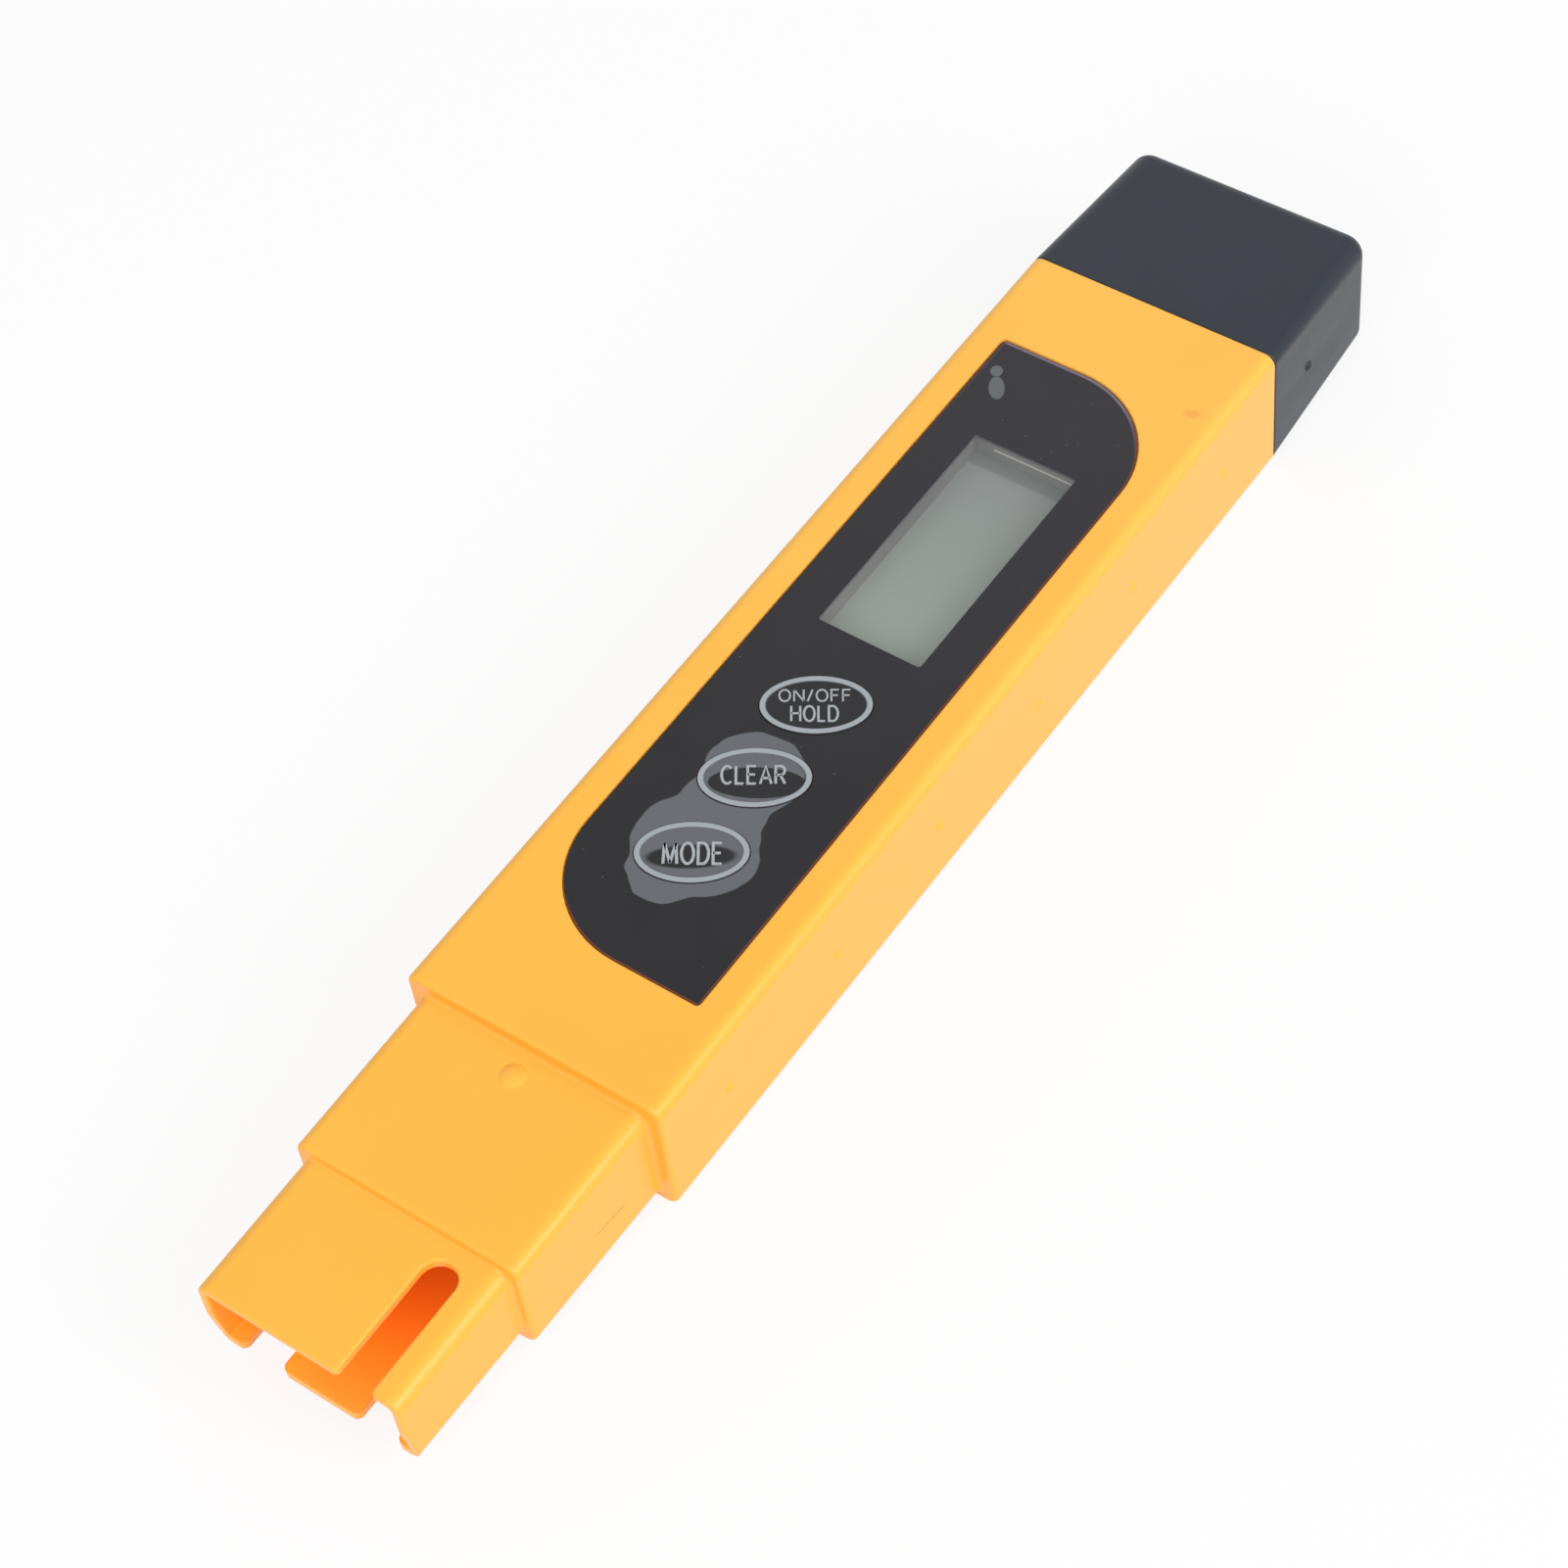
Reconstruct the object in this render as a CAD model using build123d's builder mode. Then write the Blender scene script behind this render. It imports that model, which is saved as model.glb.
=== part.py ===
from build123d import *
import os

# A pocket meter for dissolved solids in water, lying on its back. +Y runs along the
# meter from the probe end to the battery cap, +X to the right and +Z out of the
# display. The origin is the middle of the footprint, on the flat back. Millimetres.

# Button cells, which set the width of what holds them
cell_diameter = 11.6
cell_thickness = 5.4
cell_rim_height = 1.0
cell_terminal_diameter = 9.4
cell_spacing = 0.25
cell_clearance = 0.15

# Battery holder
holder_side = 0.525
holder_clearance = 0.1
holder_wall = 1.0
holder_insert = 6.0
holder_reach = 5.0
holder_shelf = 2.0
holder_end_gap = 0.375
lug_height = 0.5
lug_length = 2.0
lug_rise = 5.0
lug_setback = 3.0
lug_clearance = 0.1

# Body, collar and skirt
body_length = 102.2
body_thickness = 15.2
body_corner_radius = 1.3
side_wall = 1.5
front_wall = 1.9
back_wall = 1.5
collar_length = 18.2
collar_side_step = 1.6
collar_front_step = 1.55
collar_back_step = 1.05
collar_corner_radius = 1.4
collar_wall = 1.5
skirt_length = 15.0
skirt_side_step = 1.15
skirt_face_step = 1.1
skirt_corner_radius = 1.6
skirt_wall = 1.15
draft_angle = 0.5
shoulder_edge = 0.45
shoulder_foot = 0.5
skirt_foot = 0.4
mouth_edge = 0.2
tip_edge = 0.25

# Battery cover
cap_end_wall = 1.3
cap_width_taper = 0.7
cap_thickness_taper = 0.4
cap_corner_radius = 2.2
cap_far_edge = 1.5
cap_fit = 0.06

# Skirt slots and its shorter rear wall
slot_width = 3.65
slot_offset = 6.35
slot_floor = 1.8
rear_slot_width = 4.2
rear_wall_setback = 0.65
rear_slant_height = 5.5
tab_corner = 0.7
slot_mouth_corner = 0.5

# Grip pips on both sides and the catch domes on the collar
pip_count = 6
first_pip = 9.3
cap_pip = 7.0
pip_diameter = 1.3
pip_height = 0.28
catch_diameter = 2.5
catch_height = 0.35
catch_setback = 2.7

# Front film and its pocket
label_side_margin = 3.8
label_tip_margin = 11.0
label_cap_margin = 11.3
label_big_radius = 11.2
label_small_radius = 0.45
pocket_depth = 0.45
film_gap = 0.15
film_thickness = 0.3

# Keys, counted from the one nearest the display
key_names = ["power", "clear", "mode"]
key_margin = 13.1
key_pitch = 9.8
key_length = 10.5
key_width = 6.7
key_angle = 30.0
key_ring = 0.55
key_relief = 0.1
key_gap = 0.08
key_travel = 0.3
key_recess_depth = 0.5
key_recess_margin = 0.25
plunger_length = 6.4
plunger_width = 3.4
plunger_clearance = 0.15
plunger_flange = 0.9
plunger_flange_thickness = 0.5

# Display window, bezel and display
window_width = 11.5
window_key_gap = 8.55
window_margin = 11.85
window_corner = 0.3
bezel_neck_wall = 0.5
bezel_flange = 1.6
bezel_clearance = 0.1
display_depth = 2.3
glass_thickness = 0.7
polarizer_thickness = 0.2
glass_margin = 2.4
contact_ledge = 2.0
zebra_height = 3.2
zebra_width = 1.8
lcd_frame_inset = 1.05
lcd_frame_wall = 1.0
lcd_frame_clearance = 0.15

# Switches under the keys
switch_body = 6.0
switch_corner = 0.3
switch_height = 3.1
switch_stem_diameter = 3.4
switch_stem_rise = 0.8
switch_stem_clearance = 0.08
switch_stem_buried = 1.3
switch_stem_room = 0.1

# Circuit board and its tray
board_thickness = 1.2
board_setback = 12.0
board_end_gap = 2.4
tray_clearance = 0.15
tray_wall = 1.0
tray_floor = 1.2
screw_inset = 2.9
screw_end_inset = 3.6
screw_shank_diameter = 1.8
screw_head_diameter = 3.4
screw_head_height = 1.1
screw_slot_width = 0.4
screw_slot_depth = 0.4
screw_length = 5.0
screw_fit = 0.05
screw_room = 0.3
boss_diameter = 4.2

# Small parts on the board
chip_diameter = 8.4
chip_height = 1.4
chip_edge = 1.2
crystal_length = 7.0
crystal_width = 2.4
crystal_height = 1.8
crystal_gap = 4.1
resistor_count = 5
resistor_length = 2.0
resistor_width = 1.25
resistor_height = 0.5
resistor_gap = 0.75
capacitor_rows = 3
capacitor_length = 2.0
capacitor_width = 1.6
capacitor_height = 1.2
capacitor_pitch = 4.0
capacitor_gap = 1.5

# Battery contacts and all the leads
contact_thickness = 0.3
contact_pad = 5.0
contact_tail_width = 2.4
contact_tail_setback = 1.0
contact_clearance = 0.2
bridge_finger = 3.0
battery_lead_diameter = 1.0
battery_lead_grip = 3.5
battery_lead_bend = 3.0
board_lead_grip = 5.0
probe_lead_diameter = 0.8
probe_lead_run = 3.0
probe_lead_spread = 1.5
probe_lead_bend = 4.0
sensor_lead_diameter = 0.6
sensor_lead_spacing = 1.0
lead_edge_gap = 0.5

# Probe
probe_stop = 8.0
probe_clearance = 0.1
probe_tail = 2.0
pin_diameter = 1.5
pin_spacing = 5.2
pin_exposed = 7.2
pin_tail = 2.2
pin_edge = 0.3
pin_fit = 0.02
sensor_diameter = 2.4
sensor_exposed = 3.6
sensor_seat = 3.0
sensor_edge = 0.95
seal_width = 1.4
seal_depth = 0.9
seal_setback = 4.0

# Widths, each from the one inside it or beside it
cell_pitch = cell_diameter + cell_spacing
holder_width = cell_pitch + cell_diameter + 2 * (cell_clearance + holder_side)
cavity_width = holder_width + 2 * holder_clearance
body_width = cavity_width + 2 * side_wall
collar_width = body_width - 2 * collar_side_step
skirt_width = collar_width - 2 * skirt_side_step
collar_bore_width = collar_width - 2 * collar_wall
label_width = body_width - 2 * label_side_margin
cap_end_width = body_width - 2 * cap_width_taper
tray_width = cavity_width - 2 * tray_clearance
frame_inner_width = tray_width - 2 * (lcd_frame_inset + lcd_frame_wall)
lcd_width = frame_inner_width - 2 * lcd_frame_clearance
rear_glass_width = lcd_width - 2 * contact_ledge

# Stations along the meter, as distances from the probe tip
shelf_length = cell_diameter + 2 * cell_clearance + holder_side
cap_length = holder_reach + shelf_length + holder_end_gap + cap_end_wall
collar_start = skirt_length
body_start = collar_start + collar_length
mouth = body_start + body_length
total_length = mouth + cap_length


def from_tip(distance):
    """Y of a point that lies this far from the probe tip."""
    return distance - total_length / 2


# Heights above the flat back
cavity_floor = back_wall
cavity_ceiling = body_thickness - front_wall
holder_top = cavity_ceiling - holder_clearance
collar_bottom = collar_back_step
collar_top = body_thickness - collar_front_step
skirt_bottom = collar_bottom + skirt_face_step
skirt_top = collar_top - skirt_face_step
probe_axis_height = (collar_bottom + collar_top) / 2
pocket_floor = body_thickness - pocket_depth
film_top = pocket_floor + film_thickness
display_top = film_top - display_depth
front_glass_top = display_top - polarizer_thickness
front_glass_bottom = front_glass_top - glass_thickness
rear_glass_bottom = front_glass_bottom - glass_thickness
reflector_bottom = rear_glass_bottom - polarizer_thickness
board_top = front_glass_bottom - zebra_height
board_bottom = board_top - board_thickness
stem_top = board_top + switch_height + switch_stem_rise

# Stations of what is inside and on the front
cavity_start = body_start + collar_wall
probe_shoulder = collar_start + probe_stop
tray_start = cavity_start + probe_tail
holder_start = mouth - holder_insert
tray_end = holder_start
board_start = tray_start + board_setback
board_end = tray_end - board_end_gap
label_start = body_start + label_tip_margin
label_end = mouth - label_cap_margin
label_length = label_end - label_start
label_middle = (label_start + label_end) / 2
slot_depth = collar_start - slot_floor
last_key = label_start + key_margin
key_stations = [last_key + i * key_pitch for i in reversed(range(len(key_names)))]
window_start = key_stations[0] + window_key_gap
window_end = label_end - window_margin
window_length = window_end - window_start
window_station = (window_start + window_end) / 2
lcd_length = window_length + 2 * glass_margin
lug_station = mouth - lug_setback
lug_middle = (cavity_floor + cavity_ceiling) / 2


def toward_tip(distance):
    """Cross-section plane at a station, its normal towards the probe tip."""
    return Plane.XZ.offset(-from_tip(distance))


def toward_cap(distance):
    """Cross-section plane at a station, its normal towards the battery cap."""
    return Plane(origin=(0, from_tip(distance), 0), x_dir=(-1, 0, 0), z_dir=(0, 1, 0))


def level(height, distance):
    """Horizontal plane at a height, its origin on the centre line at a station."""
    return Plane.XY.offset(height).move(Location((0, from_tip(distance), 0)))


def section(width, low, high, radius):
    """Rounded cross-section between two heights, drawn in the sketch that calls it."""
    with Locations((0, (low + high) / 2)):
        RectangleRounded(width, high - low, radius)


def box_section(width, low, high):
    """Square cross-section between two heights, drawn in the sketch that calls it."""
    with Locations((0, (low + high) / 2)):
        Rectangle(width, high - low)


def label_sketch(inset):
    """Outline of the front film: two opposite corners are large arcs."""
    with BuildSketch() as outline:
        Rectangle(label_width - 2 * inset, label_length - 2 * inset)
        diagonal = Axis((0, 0, 0), (1, 1, 0))
        corners = outline.vertices().sort_by(diagonal)
        fillet(corners[1:3], label_small_radius)
        corners = outline.vertices().sort_by(diagonal)
        fillet([corners[0], corners[-1]], label_big_radius - inset)
    return outline.sketch


def key_places(height):
    """Planes of the keys at a height, turned to the angle of their ovals."""
    return [level(height, station).rotated((0, 0, key_angle)) for station in key_stations]


def dome_radius(diameter, height):
    """Radius of the ball whose cap has this diameter and height."""
    return (diameter ** 2 / 4 + height ** 2) / (2 * height)


def foot_edges(part, distance, width, low, high):
    """Edges at a station where a tube of this width and these heights meets a step."""
    there = part.edges().filter_by_position(Axis.Y, from_tip(distance) - 0.01, from_tip(distance) + 0.01)
    return there.filter_by(
        lambda e: abs(e.center().X) < width / 2 + 0.01 and low - 0.01 < e.center().Z < high + 0.01
    )


def save(name, solid):
    """Label a finished piece and write its file."""
    solid.label = name
    export_step(solid, os.path.join("parts", name + ".step"))


def tube_along(points, radius, bend):
    """Round wire through hand-placed points, its corners eased to one bend radius."""
    with BuildPart() as wire:
        with BuildLine() as path:
            FilletPolyline(*points, radius=bend)
        with BuildSketch(Plane(origin=path.line @ 0, z_dir=path.line % 0)):
            Circle(radius)
        sweep(path=path.line)
    return wire.part


os.makedirs("parts", exist_ok=True)

# Housing: one moulded tube with a collar, a slotted skirt and the front openings
pip_ball = dome_radius(pip_diameter, pip_height)
catch_ball = dome_radius(catch_diameter, catch_height)
pip_pitch = (body_length - first_pip + cap_pip) / pip_count
pip_stations = [body_start + first_pip + i * pip_pitch for i in range(pip_count)]
hole_width = window_width + 2 * (bezel_neck_wall + bezel_clearance)
hole_length = window_length + 2 * (bezel_neck_wall + bezel_clearance)

with BuildPart() as housing:
    with BuildSketch(toward_tip(mouth)):
        section(body_width, 0, body_thickness, body_corner_radius)
    extrude(amount=body_length)
    fillet(housing.faces().sort_by(Axis.Y)[0].edges(), shoulder_edge)
    fillet(housing.faces().sort_by(Axis.Y)[-1].edges(), mouth_edge)
    with BuildSketch(toward_tip(body_start)):
        section(collar_width, collar_bottom, collar_top, collar_corner_radius)
    extrude(amount=collar_length, taper=draft_angle)
    fillet(foot_edges(housing, body_start, collar_width, collar_bottom, collar_top), shoulder_foot)
    fillet(housing.faces().sort_by(Axis.Y)[0].edges(), shoulder_edge)
    with BuildSketch(toward_tip(collar_start)):
        section(skirt_width, skirt_bottom, skirt_top, skirt_corner_radius)
    extrude(amount=skirt_length, taper=draft_angle)
    fillet(foot_edges(housing, collar_start, skirt_width, skirt_bottom, skirt_top), skirt_foot)
    # grip pips and catch domes stand on the outside
    pip_x = body_width / 2 + pip_height - pip_ball
    with Locations([(s * pip_x, from_tip(d), probe_axis_height) for s in (-1, 1) for d in pip_stations]):
        Sphere(pip_ball, rotation=(0, 90, 0))
    catch_y = from_tip(body_start - catch_setback)
    with Locations(
        (0, catch_y, collar_top + catch_height - catch_ball),
        (0, catch_y, collar_bottom - catch_height + catch_ball),
    ):
        Sphere(catch_ball)
    # the cavity: body, collar and skirt bores, each a step narrower
    with BuildSketch(toward_tip(mouth)):
        box_section(cavity_width, cavity_floor, cavity_ceiling)
    extrude(amount=mouth - cavity_start, mode=Mode.SUBTRACT)
    with BuildSketch(toward_tip(cavity_start)):
        box_section(collar_bore_width, collar_bottom + collar_wall, collar_top - collar_wall)
    extrude(amount=cavity_start - probe_shoulder, mode=Mode.SUBTRACT)
    with BuildSketch(toward_tip(probe_shoulder)):
        section(skirt_width - 2 * skirt_wall, skirt_bottom + skirt_wall, skirt_top - skirt_wall,
                skirt_corner_radius - skirt_wall)
    extrude(amount=probe_shoulder, mode=Mode.SUBTRACT)
    # one slot in the front wall of the skirt, open at the tip
    with BuildSketch(level(probe_axis_height, 0)) as front_slot:
        with Locations((slot_offset, slot_depth / 2 - slot_width / 4)):
            Rectangle(slot_width, slot_depth - slot_width / 2)
        with Locations((slot_offset, slot_depth - slot_width / 2)):
            Circle(slot_width / 2)
        with Locations((slot_offset, -slot_mouth_corner)):
            Rectangle(slot_width + 4 * slot_mouth_corner, 2 * slot_mouth_corner)
        mouth_points = front_slot.vertices().filter_by(
            lambda v: abs(v.Y) < 0.01 and abs(v.X - slot_offset) < slot_width / 2 + 0.01
        )
        fillet(mouth_points, slot_mouth_corner)
    extrude(amount=body_thickness, mode=Mode.SUBTRACT)
    # the rear wall stops short of the tip and has two slots
    with BuildSketch(Plane.YZ.offset(-skirt_width)):
        with BuildLine():
            Polyline(
                (from_tip(-1), skirt_bottom + rear_slant_height),
                (from_tip(0), skirt_bottom + rear_slant_height),
                (from_tip(rear_wall_setback), skirt_bottom + skirt_wall),
                (from_tip(rear_wall_setback), skirt_bottom - 1),
                (from_tip(-1), skirt_bottom - 1),
                close=True,
            )
        make_face()
    extrude(amount=2 * skirt_width, mode=Mode.SUBTRACT)
    with BuildSketch(level(skirt_bottom + skirt_wall, 0)) as rear_cut:
        Rectangle(2 * skirt_width, 2 * rear_wall_setback)
        for s in (-1, 1):
            with Locations((s * slot_offset, slot_depth / 2 - rear_slot_width / 4)):
                Rectangle(rear_slot_width, slot_depth - rear_slot_width / 2)
            with Locations((s * slot_offset, slot_depth - rear_slot_width / 2)):
                Circle(rear_slot_width / 2)
        tab_points = rear_cut.vertices().filter_by(
            lambda v: abs(v.Y - rear_wall_setback) < 0.01 and abs(v.X) < skirt_width / 2
        )
        fillet(tab_points, tab_corner)
    extrude(amount=-body_thickness, mode=Mode.SUBTRACT)
    # soft edges round the skirt's end and its front slot
    tip_faces = housing.faces().filter_by_position(Axis.Y, from_tip(-0.01), from_tip(0.01))
    slot_edges = housing.edges().filter_by(
        lambda e: abs(e.center().X - slot_offset) < slot_width / 2 + 0.01
        and from_tip(0.01) < e.center().Y < from_tip(slot_depth + 0.01)
        and skirt_top - 0.5 < e.center().Z
    )
    fillet(tip_faces.edges() + slot_edges, tip_edge)
    # recesses for the battery holder's catches
    with Locations([(s * cavity_width / 2, from_tip(lug_station), lug_middle) for s in (-1, 1)]):
        Box(2 * (lug_height + lug_clearance), lug_length + 2 * lug_clearance,
            lug_rise + 2 * lug_clearance, mode=Mode.SUBTRACT)
    # pocket for the front film, the window and the key openings
    with BuildSketch(level(body_thickness, label_middle)):
        add(label_sketch(-film_gap))
    extrude(amount=-pocket_depth, mode=Mode.SUBTRACT)
    with BuildSketch(level(body_thickness, window_station)):
        Rectangle(hole_width, hole_length)
    extrude(amount=-2 * front_wall, mode=Mode.SUBTRACT)
    with BuildSketch(*key_places(pocket_floor)):
        Ellipse(key_length / 2 + key_recess_margin, key_width / 2 + key_recess_margin)
    extrude(amount=-key_recess_depth, mode=Mode.SUBTRACT)
    with BuildSketch(*key_places(pocket_floor)):
        Ellipse(plunger_length / 2 + plunger_clearance, plunger_width / 2 + plunger_clearance)
    extrude(amount=-front_wall, mode=Mode.SUBTRACT)
save("housing", housing.part)

# Battery cover: a tapered black cap that pulls off the end
cap_pip_station = mouth + cap_pip
cap_pip_shift = cap_width_taper * cap_pip / cap_length
cap_pip_x = body_width / 2 - cap_pip_shift + pip_height - pip_ball
with BuildPart() as battery_cover:
    with BuildSketch(toward_cap(mouth)):
        section(body_width, 0, body_thickness, body_corner_radius)
    with BuildSketch(toward_cap(total_length)):
        section(cap_end_width, cap_thickness_taper, body_thickness - cap_thickness_taper,
                cap_corner_radius)
    loft()
    fillet(battery_cover.faces().sort_by(Axis.Y)[-1].edges(), cap_far_edge)
    fillet(battery_cover.faces().sort_by(Axis.Y)[0].edges(), mouth_edge)
    with Locations([(s * cap_pip_x, from_tip(cap_pip_station), probe_axis_height) for s in (-1, 1)]):
        Sphere(pip_ball, rotation=(0, 90, 0))
    with BuildSketch(toward_cap(mouth)):
        box_section(holder_width + 2 * cap_fit, cavity_floor - cap_fit, holder_top + cap_fit)
    extrude(amount=cap_length - cap_end_wall, mode=Mode.SUBTRACT)
save("battery_cover", battery_cover.part)

# Front film: black printed plastic with openings for the window and the keys
with BuildPart() as panel_overlay:
    with BuildSketch(level(pocket_floor, label_middle)):
        add(label_sketch(0))
    extrude(amount=film_thickness)
    with BuildSketch(level(pocket_floor, window_station)):
        RectangleRounded(window_width, window_length, window_corner)
    extrude(amount=film_thickness, mode=Mode.SUBTRACT)
    with BuildSketch(*key_places(pocket_floor)):
        Ellipse(key_length / 2 + key_gap, key_width / 2 + key_gap)
    extrude(amount=film_thickness, mode=Mode.SUBTRACT)
save("panel_overlay", panel_overlay.part)

with BuildPart() as display_window:
    with BuildSketch(level(pocket_floor, window_station)):
        RectangleRounded(window_width, window_length, window_corner)
    extrude(amount=film_thickness)
save("display_window", display_window.part)

# Bezel: lines the window hole and holds the display down with its flange
with BuildPart() as lcd_bezel:
    with BuildSketch(level(display_top, window_station)):
        Rectangle(window_width + 2 * bezel_neck_wall, window_length + 2 * bezel_neck_wall)
    extrude(amount=pocket_floor - display_top)
    with BuildSketch(level(display_top, window_station)):
        Rectangle(hole_width + 2 * bezel_flange, hole_length + 2 * bezel_flange)
    extrude(amount=cavity_ceiling - display_top)
    with BuildSketch(level(display_top, window_station)):
        Rectangle(window_width, window_length)
    extrude(amount=pocket_floor - display_top, mode=Mode.SUBTRACT)
save("lcd_bezel", lcd_bezel.part)


def plate(name, width, length, bottom, top, station):
    """Flat rectangular piece between two heights, centred on a station."""
    with BuildPart() as sheet:
        with BuildSketch(level(bottom, station)):
            Rectangle(width, length)
        extrude(amount=top - bottom)
    save(name, sheet.part)


# Display stack, from the front: polarizer, two glasses and the reflector behind
plate("front_polarizer", rear_glass_width, lcd_length, front_glass_top, display_top, window_station)
plate("front_glass", lcd_width, lcd_length, front_glass_bottom, front_glass_top, window_station)
plate("rear_glass", rear_glass_width, lcd_length, rear_glass_bottom, front_glass_bottom,
      window_station)
plate("rear_reflector", rear_glass_width, lcd_length, reflector_bottom, rear_glass_bottom,
      window_station)

with BuildPart() as zebra_strips:
    with BuildSketch(level(board_top, window_station)):
        with Locations([(s * (lcd_width - contact_ledge) / 2, 0) for s in (-1, 1)]):
            Rectangle(zebra_width, lcd_length - glass_margin)
    extrude(amount=zebra_height)
save("zebra_strips", zebra_strips.part)

# Frame that stands on the board and holds the display over its zebra strips
frame_inner_length = lcd_length + 2 * lcd_frame_clearance
with BuildPart() as lcd_frame:
    with BuildSketch(level(board_top, window_station)):
        Rectangle(frame_inner_width + 2 * lcd_frame_wall, frame_inner_length + 2 * lcd_frame_wall)
        Rectangle(frame_inner_width, frame_inner_length, mode=Mode.SUBTRACT)
    extrude(amount=front_glass_top - board_top)
    with BuildSketch(level(reflector_bottom - lcd_frame_wall, window_station)):
        Rectangle(frame_inner_width, frame_inner_length)
        Rectangle(lcd_width - 2 * contact_ledge, lcd_length - 2 * glass_margin, mode=Mode.SUBTRACT)
        with Locations([(s * (lcd_width - contact_ledge) / 2, 0) for s in (-1, 1)]):
            Rectangle(contact_ledge + 2 * lcd_frame_clearance, frame_inner_length, mode=Mode.SUBTRACT)
    extrude(amount=lcd_frame_wall)
save("lcd_frame", lcd_frame.part)

# Keys: embossed ovals of film, the plungers under them, and the switches
stem_slot = switch_stem_diameter / 2 + switch_stem_clearance
for place, name in enumerate(key_names):
    with BuildPart() as key:
        with BuildSketch(key_places(pocket_floor)[place]):
            Ellipse(key_length / 2, key_width / 2)
        extrude(amount=film_thickness + key_relief)
        with BuildSketch(key_places(film_top + key_relief)[place]):
            Ellipse(key_length / 2 - key_ring, key_width / 2 - key_ring)
        extrude(amount=-key_relief, mode=Mode.SUBTRACT)
    save(name + "_key", key.part)

    with BuildPart() as plunger:
        with BuildSketch(key_places(stem_top)[place]):
            Ellipse(plunger_length / 2 + plunger_flange, plunger_width / 2 + plunger_flange)
        extrude(amount=plunger_flange_thickness)
        with BuildSketch(key_places(stem_top)[place]):
            Ellipse(plunger_length / 2, plunger_width / 2)
        extrude(amount=pocket_floor - stem_top)
    save(name + "_plunger", plunger.part)

    with BuildPart() as stem:
        stem_foot = board_top + switch_height - switch_stem_buried
        with BuildSketch(level(stem_foot, key_stations[place])):
            Circle(switch_stem_diameter / 2)
        extrude(amount=stem_top - stem_foot)
    save(name + "_switch_stem", stem.part)

with BuildPart() as switch_bodies:
    with BuildSketch(*[level(board_top, station) for station in key_stations]):
        RectangleRounded(switch_body, switch_body, switch_corner)
    extrude(amount=switch_height)
    with BuildSketch(*[level(board_top + switch_height, station) for station in key_stations]):
        Circle(stem_slot)
    extrude(amount=-(switch_stem_buried + key_travel + switch_stem_room), mode=Mode.SUBTRACT)
save("switch_bodies", switch_bodies.part)

# Circuit board, with screw holes at its corners
screw_x = tray_width / 2 - screw_inset
screw_places = [
    (s * screw_x, from_tip(d))
    for s in (-1, 1)
    for d in (board_start + screw_end_inset, board_end - screw_end_inset)
]
with BuildPart() as circuit_board:
    with BuildSketch(level(board_bottom, (board_start + board_end) / 2)):
        Rectangle(tray_width, board_end - board_start)
    extrude(amount=board_thickness)
    with Locations([(x, y, board_top) for x, y in screw_places]):
        Hole(screw_shank_diameter / 2 + screw_fit, depth=board_thickness)
save("circuit_board", circuit_board.part)

# Small parts on the board: behind the display, and a row between two of the screws
with BuildPart() as chip_blob:
    with BuildSketch(level(board_bottom, window_station)):
        Circle(chip_diameter / 2)
    extrude(amount=-chip_height)
    fillet(chip_blob.faces().sort_by(Axis.Z)[0].edges(), chip_edge)
save("chip_blob", chip_blob.part)

crystal_station = window_station - chip_diameter / 2 - crystal_gap - crystal_width / 2
with BuildPart() as crystal:
    with BuildSketch(level(board_bottom, crystal_station)):
        SlotOverall(crystal_length, crystal_width)
    extrude(amount=-crystal_height)
save("crystal", crystal.part)

resistor_row = 2 * (screw_x - screw_head_diameter / 2 - resistor_gap) - resistor_width
with BuildPart() as resistors:
    with BuildSketch(level(board_top, board_start + screw_end_inset)):
        with GridLocations(resistor_row / (resistor_count - 1), 0, resistor_count, 1):
            Rectangle(resistor_width, resistor_length)
    extrude(amount=resistor_height)
save("resistors", resistors.part)

with BuildPart() as capacitors:
    with BuildSketch(level(board_bottom, window_station)):
        with GridLocations(chip_diameter + 2 * capacitor_gap + capacitor_width, capacitor_pitch,
                           2, capacitor_rows):
            Rectangle(capacitor_width, capacitor_length)
    extrude(amount=-capacitor_height)
save("capacitors", capacitors.part)

# Tray that carries the board, from the probe to the battery holder
tray_length = tray_end - tray_start
tray_middle = (tray_start + tray_end) / 2
with BuildPart() as carrier_tray:
    with BuildSketch(level(cavity_floor, tray_middle)):
        Rectangle(tray_width, tray_length)
    extrude(amount=board_bottom - cavity_floor)
    with BuildSketch(level(board_bottom, tray_middle)):
        Rectangle(tray_width - 2 * tray_wall, tray_length)
    extrude(amount=-(board_bottom - cavity_floor - tray_floor), mode=Mode.SUBTRACT)
    with Locations([(x, y, cavity_floor) for x, y in screw_places]):
        Cylinder(boss_diameter / 2, board_bottom - cavity_floor,
                 align=(Align.CENTER, Align.CENTER, Align.MIN))
    with Locations([(x, y, board_bottom) for x, y in screw_places]):
        Hole(screw_shank_diameter / 2 + screw_fit, depth=screw_length - board_thickness + screw_room)
save("carrier_tray", carrier_tray.part)

with BuildPart() as board_screws:
    with Locations([(x, y, board_top) for x, y in screw_places]):
        Cylinder(screw_head_diameter / 2, screw_head_height,
                 align=(Align.CENTER, Align.CENTER, Align.MIN))
        Cylinder(screw_shank_diameter / 2, screw_length,
                 align=(Align.CENTER, Align.CENTER, Align.MAX))
    with Locations([(x, y, board_top + screw_head_height) for x, y in screw_places]):
        Box(screw_shank_diameter, screw_slot_width, 2 * screw_slot_depth, mode=Mode.SUBTRACT)
        Box(screw_slot_width, screw_shank_diameter, 2 * screw_slot_depth, mode=Mode.SUBTRACT)
save("board_screws", board_screws.part)

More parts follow.
